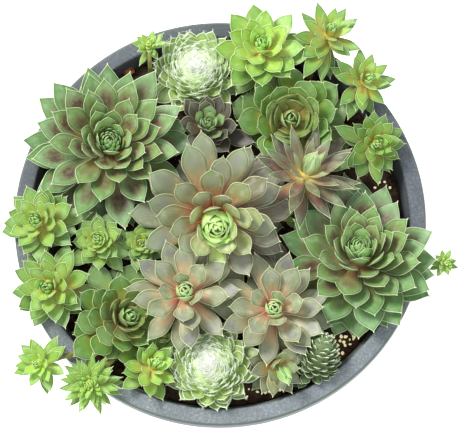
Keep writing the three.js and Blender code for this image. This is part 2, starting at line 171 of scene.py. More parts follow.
PLANTS = [
    plant("star_front_left", "star", at=(-21, -48), z=112, lean=(4, 90),
          azimuths=(174, 57, -49, -128, 110, 3, -83, 145, -169, 90, 36, -10, -81, 135)),
    plant("star_front_middle", "star", at=(32, -57), z=112, lean=(4, -90),
          azimuths=(150, 15, -98, 108, -28, -159, 75, -57, 47, -127, 1, 179, -58, 95)),
    plant("blotched_left", "blotched", at=(-68, 45), z=104, lean=(6, 10), leaves=46, reach=55, turn=1,
          phase=5, fill=26, bud=(10.5, 34, 0.62, 0.45), blush=(140, 0.25), broad=1.05),
    plant("blotched_right", "blotched", at=(84, -27), z=104, lean=(26, 95), leaves=42, tall=17, reach=50,
          turn=-1, phase=75, fill=26, bud=(12.5, 24, 0.95, 0.4), blush=(20, 0.25), clean=(-60, 0.8),
          broad=1.12, extra=[(0.02, -1, 43, 18, 12, 6, 0.02)]),
    plant("taupe_middle", form="spoon", at=(-4, 3), z=106, lean=(36, -80), leaves=36, tall=33, hub=8,
          reach=53, width=16, pitch=(8, 84), curl=(6, 22), fade=1.5, turn=1, phase=95, paint="taupe",
          fill=20, bud=(12.5, 17, 1.3, 0.85), blush=(-15, 0.8), inner_broad=1.15,
          extra=[(0.84, -88, 29, 10, 12, 28, 0.86), (0.9, -98, 18, 12, 40, 40, 0.96),
                 (0.9, -58, 18, 11, 44, 44, 0.93), (0.9, -134, 16, 11, 48, 40, 0.94)]),
    plant("bronze_back_right", form="slim", at=(50, 22), z=117, lean=(30, 53), leaves=24, tall=18, hub=4.5,
          reach=36, width=8.5, pitch=(12, 80), curl=(2, 12), fade=1.8, turn=-1, phase=130, paint="bronze",
          fill=12, bud=(4, 7, 0.8, 0.3),
          extra=[(0.9, 242, 18, 11, 104, 8, 0.92), (0.9, 195, 15, 9, 98, 8, 0.94),
                 (0.9, 290, 15, 9, 98, 8, 0.96)]),
    plant("green_cup", form="spoon", at=(43, 62), z=104, lean=(10, -80), leaves=30, tall=15, hub=8, reach=37,
          width=15, pitch=(12, 84), curl=(14, 40), fade=1.1, turn=1, phase=40, paint="dark_green", fill=16,
          bud=(8, 7, 1.3, 0.8), broad=1.14, until=0.54,
          extra=[(0.55, 40 + 72 * i, 18, 16, 26, 68, 0.66) for i in range(5)]
          + [(0.6, 76 + 90 * i, 13.5, 12, 32, 62, 0.72) for i in range(4)]),
    plant("dark_front_left", form="spoon", at=(-61, -62), z=103, lean=(34, 0), leaves=28, tall=20, hub=6,
          reach=32, width=13, pitch=(10, 84), curl=(8, 30), fade=1.4, turn=-1, phase=200, paint="dark_green",
          fill=18, bud=(8.5, 11, 0.98, 0.5), broad=1.14, extra=[(0, 221, 37, 14, 18, 8, 0.02)]),
    plant("cobweb_back", "cobweb", at=(-15, 94), z=103, lean=(4, 90), turn=1),
    plant("cobweb_front", "cobweb", at=(-6, -91), z=103, lean=(10, 130), turn=-1),
    plant("lime_back", "lime", at=(25, 104), z=111, lean=(12, 90), foot=(23, 96), leaves=24, tall=13, hub=5,
          reach=32, width=12.5, turn=-1, phase=100, fill=9, bud=(6, 14, 0.8, 0.5), broad=1.14),
    plant("offset_back_right", "offset", at=(65, 112), z=113, lean=(28, 45), foot=(54, 89), reach=24,
          width=8.5, turn=1, phase=55, fill=9, drawn="slim",
          extra=[(0.05, 226, 23, 10, 16, 10, 0.05), (0, 243, 31, 10, 8, 6, 0)]),
    plant("offset_right_rim", "offset", at=(86, 84), z=112, lean=(30, 0), foot=(76, 70), reach=22, width=8,
          turn=-1, phase=5, fill=9, drawn="slim"),
    plant("offset_right", "offset", at=(93, 46), z=111, lean=(24, -60), reach=21, width=8.5, turn=1,
          phase=88, fill=16, paint="moss_green"),
    plant("offset_lime_left", "lime", at=(-108, -3), z=109, lean=(22, 190), foot=(-101, -5), leaves=19,
          reach=25.5, turn=1, phase=190, paint="offset", fill=18),
    plant("offset_lime_left_front", "lime", at=(-100, -42), z=109, lean=(22, 215), foot=(-94, -40),
          leaves=20, tall=16, reach=28, turn=-1, phase=70, paint="offset", fill=18),
    plant("offset_olive_left", "lime", at=(-73, -14), z=107, lean=(8, 180), leaves=17, tall=10, reach=19,
          width=9.5, turn=1, phase=130, paint="offset", fill=20),
    plant("offset_small_left", "offset", at=(-48, -15), z=105, lean=(4, 0), leaves=12, tall=8, hub=3,
          reach=14, width=7.5, turn=-1, phase=150, fill=18, bud=(3, 8, 0.85, 0.7)),
    plant("offset_outside_left", "offset", at=(-106, -88), z=108, lean=(28, 208), foot=(-70, -77), leaves=17,
          tall=12, hub=3.2, reach=19, width=7.5, turn=1, phase=60, paint="fresh", bud=(3.2, 8, 0.85, 0.7),
          fill=9, drawn="slim"),
    plant("offset_spiky_front_left", "spiky", at=(-77, -101), z=110, lean=(18, 235), foot=(-62, -82),
          leaves=29, tall=12, hub=4.4, reach=20, width=5, pitch=(8, 82), turn=-1, phase=90, fill=36,
          bud=(3.4, 10, 0.6, 0.3)),
    plant("offset_lime_front", "lime", at=(-42, -92), z=106, lean=(34, 35), leaves=18, hub=3.6, reach=22,
          width=9, turn=1, phase=215, fill=11),
    plant("small_grey_front", "offset", at=(33, -89), z=104, lean=(38, -50), leaves=16, tall=15, reach=21,
          width=9.5, turn=-1, phase=20, paint="olive", fill=7, bud=(3.6, 7, 0.9, 0.3), drawn="slim",
          extra=[(0.9, 95, 18, 8.5, 112, 6, 0.92), (0.9, 45, 15, 7, 104, 8, 0.94),
                 (0.9, 145, 15, 7, 104, 8, 0.96)]),
    plant("globe_front_right", form="scale", at=(56, -87), z=101, lean=(55, 58), leaves=46, tall=27,
          hub=10.5, reach=18, width=8, pitch=(44, 80), curl=(10, 30), fade=1.1, turn=1, phase=0,
          paint="globe", fill=60, bud=(4.5, 12, 0.85, 0.4), drawn="diamond", broad=0.76, flare=22),
    plant("offset_stalked_back", "spiky", at=(-43, 105), z=120, lean=(6, 90), foot=(-43, 91), leaves=14,
          tall=8, hub=2.6, reach=12, width=4.2, turn=1, phase=165, fill=10),
    plant("purple_back", "blotched", at=(-8, 57), z=105, lean=(10, 60), leaves=14, tall=10, hub=4, reach=25,
          width=10.5, pitch=(26, 80), turn=1, phase=130, paint="purple", fill=12, bud=(7, 14, 0.85, 0.5)),
    plant("offset_outside_right", "spiky", at=(135, -27), z=107.5, lean=(24, -10), foot=(104, -22),
          leaves=12, tall=6, hub=1.8, reach=9.5, width=3.6, turn=-1, phase=60, fill=12),
    plant("offset_hidden_front_left", "offset", at=(-33, -71), z=102, lean=(10, 200), leaves=8, tall=7,
          hub=3, reach=12, width=8, pitch=(30, 80), turn=1, phase=40, bud=(2.4, 6, 0.85, 0.5)),
    plant("offset_tiny_middle", "spiky", at=(39, 3), z=106, lean=(6, 90), leaves=7, tall=5, hub=2, reach=9,
          width=4, pitch=(30, 80), turn=1, phase=90),
]

# ---------------------------------------------------------------- camera, light and floor

IMAGE = (460, 433)
RIM_CENTRE_PIXEL = (220.2, 220.3)
MM_PER_PIXEL = 0.607
CAMERA = dict(elevation=78, distance=1500, sensor=36)


def make_camera():
    """Looks at the rim's centre from its distance, moved sideways so that the rim falls where it should."""
    tilt = radians(CAMERA["elevation"])
    up = Vector((0, sin(tilt), cos(tilt)))
    aim = Vector((0, 0, POT["height"]))
    aim.x += (IMAGE[0] / 2 - RIM_CENTRE_PIXEL[0]) * MM_PER_PIXEL
    aim += up * (RIM_CENTRE_PIXEL[1] - IMAGE[1] / 2) * MM_PER_PIXEL
    place = aim + Vector((0, -cos(tilt), sin(tilt))) * CAMERA["distance"]
    data = bpy.data.cameras.new("camera")
    data.sensor_width = CAMERA["sensor"]
    data.lens = CAMERA["sensor"] * CAMERA["distance"] / (IMAGE[0] * MM_PER_PIXEL)
    data.clip_start = 0.05
    camera = bpy.data.objects.new("camera", data)
    camera.location = place * MM
    camera.rotation_euler = (radians(90) - tilt, 0, 0)
    bpy.context.scene.collection.objects.link(camera)
    bpy.context.scene.camera = camera


def area_light(name, place, size, power, colour):
    data = bpy.data.lights.new(name, "AREA")
    data.shape = "DISK"
    data.size = size
    data.energy = power
    data.color = colour
    light = bpy.data.objects.new(name, data)
    light.location = place
    light.rotation_euler = (Vector((0, 0, 0.1)) - Vector(place)).to_track_quat("-Z", "Y").to_euler()
    bpy.context.scene.collection.objects.link(light)


def make_light():
    world = bpy.data.worlds.new("studio")
    world.use_nodes = True
    background = world.node_tree.nodes["Background"]
    background.inputs["Color"].default_value = (0.95, 0.98, 1.0, 1)
    background.inputs["Strength"].default_value = 0.81
    scene = bpy.context.scene
    scene.world = world
    scene.view_settings.view_transform = "Standard"
    scene.view_settings.look = "None"
    area_light("key", place=(-0.8, 0.6, 1.35), size=0.6, power=28, colour=(1.0, 0.98, 0.94))
    area_light("fill", place=(0.9, -0.9, 1.2), size=1.2, power=7, colour=(0.94, 0.97, 1.0))


def make_floor():
    bpy.ops.mesh.primitive_plane_add(size=6)
    floor = bpy.context.object
    floor.name = "floor"
    paint = Paint("floor_white")
    paint.set(Base_Color=(0.92, 0.92, 0.92, 1), Roughness=0.9)
    paint.set(Emission_Color=(1, 1, 1, 1), Emission_Strength=0.5)
    floor.data.materials.append(paint.material)


# ---------------------------------------------------------------- shader graphs

def srgb(*channels):
    """A colour given as 0 to 255, as the linear colour that a shader takes."""
    shares = [c / 255 for c in channels]
    return tuple(c / 12.92 if c <= 0.04045 else ((c + 0.055) / 1.055) ** 2.4 for c in shares) + (1.0,)


class Paint:
    """A material with one Principled shader and short calls that add nodes before it."""

    def __init__(self, name):
        self.material = bpy.data.materials.new(name)
        self.material.use_nodes = True
        self.tree = self.material.node_tree
        self.shader = self.tree.nodes["Principled BSDF"]

    def set(self, **values):
        """Sets the shader's own sockets, whose names are written with _ for a space."""
        for socket, value in values.items():
            self.shader.inputs[socket.replace("_", " ")].default_value = value

    def link(self, value, socket):
        self.tree.links.new(value, self.shader.inputs[socket])

    def node(self, kind, inputs, **settings):
        """Adds a node. Its inputs get a number, a colour or another node's output."""
        node = self.tree.nodes.new("ShaderNode" + kind)
        for name, value in settings.items():
            setattr(node, name, value)
        for socket, value in inputs.items():
            if isinstance(value, bpy.types.NodeSocket):
                self.tree.links.new(value, node.inputs[socket])
            else:
                node.inputs[socket].default_value = value
        return node

    def math(self, operation, a, b=0.0, c=0.0):
        return self.node("Math", {0: a, 1: b, 2: c}, operation=operation).outputs[0]

    def mix(self, share, a, b, blend="MIX"):
        return self.node("Mix", {0: share, 6: a, 7: b}, data_type="RGBA", blend_type=blend).outputs[2]

    def smooth(self, value, low, high, start=0.0, end=1.0):
        """Start up to low, end from high on, and a smooth step between them."""
        inputs = {"Value": value, "From Min": low, "From Max": high, "To Min": start, "To Max": end}
        return self.node("MapRange", inputs, interpolation_type="SMOOTHSTEP").outputs["Result"]

    def ramp(self, value, stops):
        """A smooth run of colours, each given as its place, red, green and blue."""
        node = self.node("ValToRGB", {0: value})
        node.color_ramp.interpolation = "EASE"
        elements = node.color_ramp.elements
        while len(elements) < len(stops):
            elements.new(0.5)
        for element, (place, *colour) in zip(elements, stops):
            element.position = place
            element.color = srgb(*colour)
        return node.outputs[0]

    def attribute(self, name):
        return self.node("Attribute", {}, attribute_name=name).outputs["Vector"]

    def parts(self, vector):
        return self.node("SeparateXYZ", {0: vector}).outputs

    def scaled(self, vector, scale):
        return self.node("VectorMath", {0: vector, 1: scale}, operation="MULTIPLY").outputs[0]

    def place(self):
        return self.node("TexCoord", {}).outputs["Object"]

    def noise(self, vector, scale, detail=3.0, roughness=0.5):
        inputs = {"Vector": vector, "Scale": scale, "Detail": detail, "Roughness": roughness}
        return self.node("TexNoise", inputs).outputs["Fac"]

    def bump(self, height, strength, distance):
        inputs = {"Strength": strength, "Distance": distance, "Height": height}
        self.link(self.node("Bump", inputs).outputs[0], "Normal")


# ---------------------------------------------------------------- leaf colours

# Each paint, in colours from 0 to 255: runs of colours along the leaf, each colour after its place, for the
# body, the inner whorls and the closed heart, whose colours are partly painted light for its steep, shaded
# leaves; the ages from which leaves turn to the inner and the heart's colours; the colours laid over them;
# the blotch, as its place along the leaf, length, share of the width and strength; and the margin's width
# in millimetres.
PAINTS = dict(
    blotched=dict(
        body=[(0.26, 184, 118, 74), (0.4, 166, 144, 78), (0.54, 122, 146, 78), (0.8, 102, 148, 82),
              (1, 124, 164, 98)],
        inner=[(0.2, 160, 104, 70), (0.4, 150, 132, 74), (0.62, 114, 140, 74), (1, 126, 160, 90)],
        heart=[(0, 140, 148, 74), (0.4, 112, 152, 80), (1, 140, 180, 110)],
        turns=(0.3, 0.8), variant=(146, 184, 136), old=(96, 134, 78), halo=(128, 98, 84), core=(90, 50, 62),
        margin=(216, 228, 182), bloom_and_sheen=(184, 208, 176), under=(128, 150, 104), spot=(0.63, 0.16, 0.28, 1.7),
        margin_width=0.4,
    ),
    star=dict(
        body=[(0.06, 214, 106, 94), (0.2, 222, 146, 120), (0.42, 214, 176, 140), (0.64, 164, 160, 130),
              (1, 134, 152, 114)],
        inner=[(0.1, 206, 114, 98), (0.35, 166, 136, 108), (0.6, 120, 128, 98), (1, 136, 146, 106)],
        heart=[(0, 176, 184, 116), (0.4, 150, 190, 114), (1, 182, 214, 148)],
        turns=(0.42, 0.87), variant=(150, 158, 126), old=(116, 130, 92), halo=(152, 150, 140),
        core=(122, 120, 126), margin=(222, 228, 180), bloom_and_sheen=(206, 208, 190), under=(156, 150, 122),
        spot=(0.76, 0.17, 0.38, 1.2), margin_width=0.36,
    ),
    taupe=dict(
        body=[(0.2, 204, 88, 78), (0.34, 214, 142, 108), (0.52, 192, 172, 124), (0.72, 156, 162, 128),
              (1, 140, 164, 120)],
        inner=[(0.14, 214, 92, 74), (0.32, 208, 142, 98), (0.56, 158, 156, 96), (1, 138, 158, 102)],
        heart=[(0, 196, 184, 100), (0.3, 158, 198, 92), (1, 180, 218, 118)],
        turns=(0.42, 0.86), variant=(120, 84, 90), old=(108, 92, 92), halo=(164, 168, 150),
        core=(166, 168, 166), margin=(218, 226, 178), bloom_and_sheen=(224, 226, 214), under=(150, 128, 108),
        spot=(0.74, 0.18, 0.34, 1.2), margin_width=0.4,
    ),
    bronze=dict(
        body=[(0.08, 230, 204, 122), (0.22, 190, 146, 94), (0.4, 128, 78, 72), (0.64, 96, 76, 72),
              (0.86, 98, 102, 80), (1, 128, 138, 102)],
        inner=[(0.08, 230, 206, 122), (0.32, 168, 140, 98), (0.6, 118, 112, 90), (1, 136, 150, 112)],
        heart=[(0, 196, 184, 110), (0.4, 146, 168, 118), (1, 158, 182, 132)],
        turns=(0.58, 0.76), variant=(120, 130, 96), old=(100, 76, 70), halo=(136, 90, 84), core=(98, 62, 70),
        margin=(202, 206, 158), bloom_and_sheen=(178, 184, 158), under=(120, 106, 86), spot=(0.5, 0.2, 0.26, 0.7),
        margin_width=0.4,
    ),
    dark_green=dict(
        body=[(0.28, 194, 156, 58), (0.46, 168, 170, 52), (0.64, 118, 154, 50), (0.84, 96, 142, 60),
              (1, 126, 164, 92)],
        inner=[(0.3, 132, 110, 54), (0.55, 110, 126, 54), (1, 100, 136, 66)],
        heart=[(0, 140, 136, 66), (0.4, 108, 152, 78), (1, 128, 168, 102)],
        turns=(0.4, 0.8), variant=(150, 182, 122), old=(100, 128, 60), halo=(128, 122, 60),
        core=(104, 92, 52), margin=(196, 214, 150), bloom_and_sheen=(166, 196, 148), under=(116, 140, 84),
        spot=(0.62, 0.14, 0.3, 0.35), margin_width=0.45, inner_margin=(184, 156, 106),
    ),
    cobweb=dict(
        body=[(0.2, 200, 214, 130), (0.5, 186, 212, 118), (0.85, 196, 220, 142), (1, 226, 238, 200)],
        inner=[(0.2, 192, 210, 146), (0.6, 190, 214, 150), (1, 222, 234, 202)],
        heart=[(0, 160, 176, 130), (0.5, 172, 188, 146), (1, 196, 206, 180)],
        turns=(0.35, 0.75), variant=(170, 196, 110), old=(168, 192, 116), halo=(150, 160, 96),
        core=(140, 140, 90), margin=(226, 240, 206), bloom_and_sheen=(218, 232, 194), under=(176, 196, 124),
        spot=(0.6, 0.2, 0.3, 0.1), margin_width=0.9,
    ),
    lime=dict(
        body=[(0.2, 208, 178, 90), (0.4, 190, 194, 82), (0.6, 154, 194, 76), (0.8, 132, 180, 70),
              (1, 150, 190, 94)],
        inner=[(0.2, 206, 186, 92), (0.5, 166, 194, 80), (1, 138, 184, 76)],
        heart=[(0, 190, 202, 90), (0.4, 134, 186, 76), (1, 164, 212, 100)],
        turns=(0.35, 0.8), variant=(112, 160, 64), old=(116, 150, 66), halo=(170, 186, 84),
        core=(170, 170, 84), margin=(218, 240, 164), bloom_and_sheen=(208, 232, 172), under=(156, 190, 98),
        spot=(0.5, 0.2, 0.3, 0.2), margin_width=0.4,
    ),
    offset=dict(
        body=[(0.2, 206, 178, 76), (0.42, 182, 186, 76), (0.6, 144, 182, 76), (0.82, 124, 168, 80),
              (1, 156, 150, 100)],
        inner=[(0.2, 198, 170, 74), (0.5, 156, 180, 76), (1, 128, 172, 84)],
        heart=[(0, 170, 176, 80), (0.4, 116, 168, 70), (1, 148, 196, 98)],
        turns=(0.35, 0.8), variant=(104, 150, 76), old=(110, 146, 72), halo=(146, 134, 80),
        core=(132, 108, 78), margin=(200, 224, 156), bloom_and_sheen=(186, 214, 166), under=(138, 168, 94),
        spot=(0.85, 0.1, 0.3, 0.3), margin_width=0.4,
    ),
    globe=dict(
        body=[(0.3, 92, 104, 64), (0.6, 90, 122, 74), (0.86, 106, 134, 90), (1, 160, 172, 136)],
        inner=[(0.3, 88, 104, 62), (0.6, 90, 122, 74), (1, 140, 160, 118)],
        heart=[(0, 92, 112, 64), (0.5, 94, 122, 74), (1, 132, 152, 112)],
        turns=(0.35, 1.2), variant=(84, 116, 70), old=(88, 108, 66), halo=(104, 108, 74), core=(100, 94, 70),
        margin=(224, 236, 200), bloom_and_sheen=(176, 192, 160), under=(96, 116, 74), spot=(0.85, 0.1, 0.2, 0.4),
        margin_width=0.55,
    ),
    purple=dict(
        body=[(0.3, 134, 76, 60), (0.5, 96, 72, 68), (0.75, 86, 78, 74), (1, 118, 116, 96)],
        inner=[(0.3, 130, 84, 60), (0.6, 94, 92, 68), (1, 104, 122, 80)],
        heart=[(0, 134, 142, 84), (0.4, 128, 166, 100), (1, 146, 184, 120)],
        turns=(0.3, 0.46), variant=(110, 104, 90), old=(78, 66, 66), halo=(82, 60, 60), core=(54, 40, 48),
        margin=(170, 176, 140), bloom_and_sheen=(142, 140, 134), under=(104, 92, 82), spot=(0.62, 0.16, 0.3, 0.7),
        margin_width=0.45,
    ),
)
PAINTS["olive"] = dict(
    PAINTS["star"],
    body=[(0.1, 208, 150, 84), (0.32, 186, 156, 100), (0.6, 142, 148, 106), (1, 134, 148, 110)],
    inner=[(0.1, 190, 160, 92), (0.5, 132, 156, 96), (1, 146, 170, 112)],
    heart=[(0, 150, 156, 80), (0.4, 118, 158, 80), (1, 142, 178, 106)],
    turns=(0.42, 0.7), under=(150, 140, 108),
)
PAINTS["fresh"] = dict(
    PAINTS["lime"],
    body=[(0.1, 208, 204, 96), (0.35, 178, 202, 84), (0.65, 144, 190, 76), (1, 150, 188, 94)],
    inner=[(0.1, 190, 200, 90), (0.5, 156, 194, 80), (1, 138, 184, 78)],
)
PAINTS["moss_green"] = dict(
    PAINTS["offset"],
    body=[(0.2, 190, 166, 60), (0.45, 158, 166, 58), (0.7, 112, 154, 62), (1, 124, 158, 88)],
    inner=[(0.2, 176, 160, 60), (0.55, 126, 160, 62), (1, 112, 154, 72)],
    variant=(86, 130, 64), bloom_and_sheen=(160, 192, 132),
)
# The greens are deeper outside and lighter in the heart, by these factors on the colours. The heart's
# lightening is partly painted light, as its steep closed leaves catch less light from above.
OLD_LIGHT = (0.83, 0.88, 0.78, 1)
HEART_LIGHT = (1.32, 1.38, 1.22, 1)


def leaf_paint(name):
    """Waxy leaf: colour by place along the leaf and by age, with blotch, streaks, a pale waxy coat that is
    partly painted sheen, painted shade inside the pale margin, and a heart lightened partly as painted
    light.
    """
    colours = PAINTS[name]
    paint = Paint("leaf_" + name)
    along, edge, age = paint.parts(paint.attribute("leaf"))
    blotch, upper, seed = paint.parts(paint.attribute("tint"))
    grain = paint.attribute("grain")
    smooth = paint.smooth

    def grained(scale, detail, roughness=0.5):
        return paint.noise(paint.scaled(grain, scale), 1.0, detail, roughness)

    def laid(over, share, key):
        return paint.mix(share, over, srgb(*colours[key]))

    drift = paint.math("MULTIPLY_ADD", grained((0.16, 0.07, 1), 2), 0.4, -0.2)
    shifted = paint.math("ADD", along, drift)
    body = paint.ramp(shifted, colours["body"])
    # Leaves by chance and on one side take the variant colour; on the blotched paint that pale mint is
    # painted sheen.
    body = laid(body, smooth(seed, 0.5, 1, 0, 0.7), "variant")
    body = laid(body, smooth(age, -0.25, 0.12, 0.75, 0), "old")
    turn_in, turn_heart = colours["turns"]
    inner, heart = paint.ramp(shifted, colours["inner"]), paint.ramp(along, colours["heart"])
    body = paint.mix(smooth(age, turn_in - 0.1, turn_in + 0.12), body, inner)
    body = paint.mix(smooth(age, turn_heart - 0.07, turn_heart + 0.07), body, heart)
    # The pale colour laid in patches and streaks is partly the leaves' real waxy coat and partly painted
    # sheen.
    wax_and_sheen = grained((0.24, 0.14, 1), 3)
    body = laid(body, smooth(wax_and_sheen, 0.45, 0.75, 0, 0.42), "bloom_and_sheen")
    streak = grained((2.4, 0.16, 1), 3, 0.6)
    body = laid(body, smooth(streak, 0.35, 0.7, 0.0, 0.2), "bloom_and_sheen")
    mottle = grained((0.55, 0.35, 1), 4, 0.6)
    stain = paint.math("MULTIPLY", blotch, smooth(mottle, 0.25, 0.65, 0.6, 1.15))
    body = laid(body, smooth(stain, 0.05, 0.55, 0, 0.62), "halo")
    body = laid(body, smooth(stain, 0.42, 0.95, 0, 0.8), "core")
    body = laid(body, smooth(upper, 0.0, 1.0, 0.7, 0.0), "under")
    width = colours["margin_width"]
    # Painted shade: a darker band just inside the pale margin, where the leaf's edge turns away from the
    # light.
    near = smooth(edge, width * 1.2, width + 1.7, 0.4, 0.0)
    body = paint.mix(near, body, srgb(70, 96, 52), "MULTIPLY")
    # Outer leaves darker and the heart lighter; the heart's lightening is partly painted light.
    body = paint.mix(1.0, body, paint.mix(smooth(age, 0.1, 0.95), OLD_LIGHT, HEART_LIGHT), "MULTIPLY")
    margin, inner_margin = colours["margin"], colours.get("inner_margin", colours["margin"])
    rim = paint.mix(smooth(age, 0.4, 0.6), srgb(*margin), srgb(*inner_margin))
    rim = paint.mix(smooth(age, 0.84, 0.9), rim, srgb(*margin))
    body = paint.mix(smooth(edge, width * 0.5, width * 1.2, 0.95, 0.0), body, rim)
    paint.link(body, "Base Color")
    paint.bump(grained((1.6, 0.5, 1), 4, 0.6), 0.35, 0.0004)
    paint.set(Roughness=0.4, Specular_IOR_Level=0.5, Sheen_Weight=0.05)
    paint.set(Subsurface_Weight=0.08, Subsurface_Radius=(0.003, 0.004, 0.0015))
    return paint.material


def stem_paint():
    paint = Paint("stem")
    place = paint.place()
    stops = [(0.3, 92, 88, 48), (0.5, 128, 134, 66), (0.7, 150, 104, 70)]
    paint.link(paint.ramp(paint.noise(place, 260, 4, 0.6), stops), "Base Color")
    paint.bump(paint.noise(place, 900, 3), 0.5, 0.0005)
    paint.set(Roughness=0.7)
    return paint.material


def hair_paint():
    paint = Paint("white_hair_glowing")
    stops = [(0.3, 226, 233, 216), (0.7, 250, 252, 246)]
    paint.link(paint.ramp(paint.noise(paint.place(), 500, 2), stops), "Base Color")
    # The hairs also shine a little without a lamp: painted light that keeps the felt white in the shade.
    paint.set(Roughness=0.6, Emission_Color=(1, 1, 1, 1), Emission_Strength=0.1)
    return paint.material


# ---------------------------------------------------------------- meshes

class Shape:
    """Vertices in millimetres, faces, and the leaf attributes, gathered into one object."""

    def __init__(self):
        self.points = []
        self.faces = []
        self.slots = []
        self.marks = []
        self.count = 0

    def add(self, points, faces, slot=0, marks=None):
        points = np.asarray(points, float)
        if marks is None:
            marks = np.zeros((len(points), 9))
        self.points.append(points)
        self.marks.append(marks)
        self.faces.extend([tuple(self.count + i for i in face) for face in faces])
        self.slots.extend([slot] * len(faces))
        self.count += len(points)

    def object(self, name, materials, smooth=True):
        mesh = bpy.data.meshes.new(name)
        mesh.from_pydata(np.vstack(self.points) * MM, [], self.faces)
        mesh.polygons.foreach_set("material_index", self.slots)
        mesh.polygons.foreach_set("use_smooth", [smooth] * len(self.faces))
        marks = np.vstack(self.marks).astype(np.float32)
        for i, label in enumerate(("leaf", "tint", "grain")):
            layer = mesh.attributes.new(label, "FLOAT_VECTOR", "POINT")
            layer.data.foreach_set("vector", marks[:, 3 * i : 3 * i + 3].ravel())
        for material in materials:
            mesh.materials.append(material)
        mesh.update()
        made = bpy.data.objects.new(name, mesh)
        bpy.context.scene.collection.objects.link(made)
        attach(made, BODY)
        return made


def ring_faces(rings, around, first=0):
    """The quads of a tube of rings, and n-gons that close its two ends."""
    faces = []
    for r in range(rings - 1):
        for j in range(around):
            a, b = first + r * around + j, first + r * around + (j + 1) % around
            faces.append((a, b, b + around, a + around))
    faces.append(tuple(first + j for j in reversed(range(around))))
    faces.append(tuple(first + (rings - 1) * around + j for j in range(around)))
    return faces


def level_ring(r, z, around):
    return [(r * cos(2 * pi * j / around), r * sin(2 * pi * j / around), z) for j in range(around)]


def closed_skin(first, rings, last):
    """Points and faces of a skin that starts in one point, runs over rings of points and ends in another."""
    around = len(rings[0])
    points = [first, *(point for ring in rings for point in ring), last]
    end = len(points) - 1
    faces = [(0, 1 + (j + 1) % around, 1 + j) for j in range(around)]
    faces += ring_faces(len(rings), around, 1)[:-2]
    faces += [(end - around + j, end - around + (j + 1) % around, end) for j in range(around)]
    return points, faces


def tube(shape, path, radii, around, slot):
    """A round tube along a path, with a frame carried from point to point."""
    path = np.asarray(path, float)
    tangents = np.gradient(path, axis=0)
    tangents /= np.linalg.norm(tangents, axis=1)[:, None]
    side = np.cross(tangents[0], (0.31, 0.87, 0.38))
    points = []
    for centre, tangent, radius in zip(path, tangents, radii):
        side = side - tangent * side.dot(tangent)
        side /= np.linalg.norm(side)
        other = np.cross(tangent, side)
        for j in range(around):
            a = 2 * pi * j / around
            points.append(centre + radius * (side * cos(a) + other * sin(a)))
    shape.add(points, ring_faces(len(path), around), slot)


# ---------------------------------------------------------------- how a plant grows

def lerp(a, b, t):
    return a + (b - a) * t


def core_of(plant):
    return CORES["dome" if plant["form"] == "scale" else "spindle"]


def wobble(plant, k, salt):
    """A repeatable number from -1 to 1 for leaf k of a plant."""
    x = sin(plant["reach"] * 12.9898 + k * 78.233 + salt * 37.719) * 43758.5453
    return 2 * (x % 1) - 1


def turned(axis, angle):
    """The matrix of a turn about a level axis."""
    x, y = axis
    c, s = cos(angle), sin(angle)
    return np.array([
        [c + x * x * (1 - c), x * y * (1 - c), y * s],
        [x * y * (1 - c), c + y * y * (1 - c), -x * s],
        [-y * s, x * s, c],
    ])


def axis_at(plant, length):
    """A point and a frame on a plant's leaning core, a given length up from its lowest whorl."""
    lean, towards = (radians(a) for a in plant["lean"])
    start = lean * LEAN_AT_BASE
    bend = (lean - start) / plant["tall"]
    angle = start + bend * length
    out = (cos(start) - cos(angle)) / bend
    rise = (sin(angle) - sin(start)) / bend
    x, y = plant["at"]
    point = np.array([x + cos(towards) * out, y + sin(towards) * out, plant["z"] + rise])
    return point, turned((-sin(towards), cos(towards)), angle)


def core_radius(plant, share):
    return plant["hub"] * sqrt(1 - core_of(plant)["closing"] * share * share)


def frame_of_leaf(plant, length, azimuth):
    """The core's point at a length, and the directions out and up of a leaf that grows there."""
    point, turn = axis_at(plant, length)
    out = turn @ np.array([cos(azimuth), sin(azimuth), 0])
    up = turn @ np.array([0, 0, 1])
    return point, dict(out=out, up=up, side=np.cross(out, up))


def leaf_at(plant, s, azimuth, k):
    """A leaf at a share s of the way up the core, with k to seed its own small differences."""
    core = core_of(plant)
    late = max(s, 0) ** plant["fade"]
    height = core["leafy"] * s
    point, ways = frame_of_leaf(plant, plant["tall"] * height, azimuth)
    width = plant["width"] * lerp(1, HEART["width"], late) * (1 + CHANCE["width"] * wobble(plant, k, 2))
    free = plant["reach"] - plant["hub"] * core["root"]
    pitch = lerp(*plant["pitch"], late) + CHANCE["pitch"] * wobble(plant, k, 3) * (1 - s)
    return dict(
        ways,
        root=point + ways["out"] * core_radius(plant, height) * core["root"],
        pitch=pitch + LOW_LEAF["drop"] * min(s, 0),
        curl=lerp(*plant["curl"], s),
        length=free * lerp(1, HEART["length"], late) * (1 + CHANCE["length"] * wobble(plant, k, 4)),
        width=width,
        thickness=max(THINNEST, width * THICKNESS),
        wrap=lerp(*WRAP, max(s, 0) ** 1.5),
        age=s,
        azimuth=azimuth,
        seed=0.5 + 0.5 * wobble(plant, k, 5),
    )


def frame_leaf(plant, k):
    """Leaf k of those that the frame's solid has, as it grows where nothing is in its way."""
    listed = plant.get("azimuths", ())
    first = listed[-1] if listed else plant["phase"]
    steps = k - len(listed) + 1 if listed else k
    spiral = first + plant["turn"] * GOLDEN_ANGLE * steps + CHANCE["azimuth"] * wobble(plant, k, 1)
    azimuth = listed[k] if k < len(listed) else spiral
    return leaf_at(plant, k / (plant["leaves"] - 1), radians(azimuth), k)


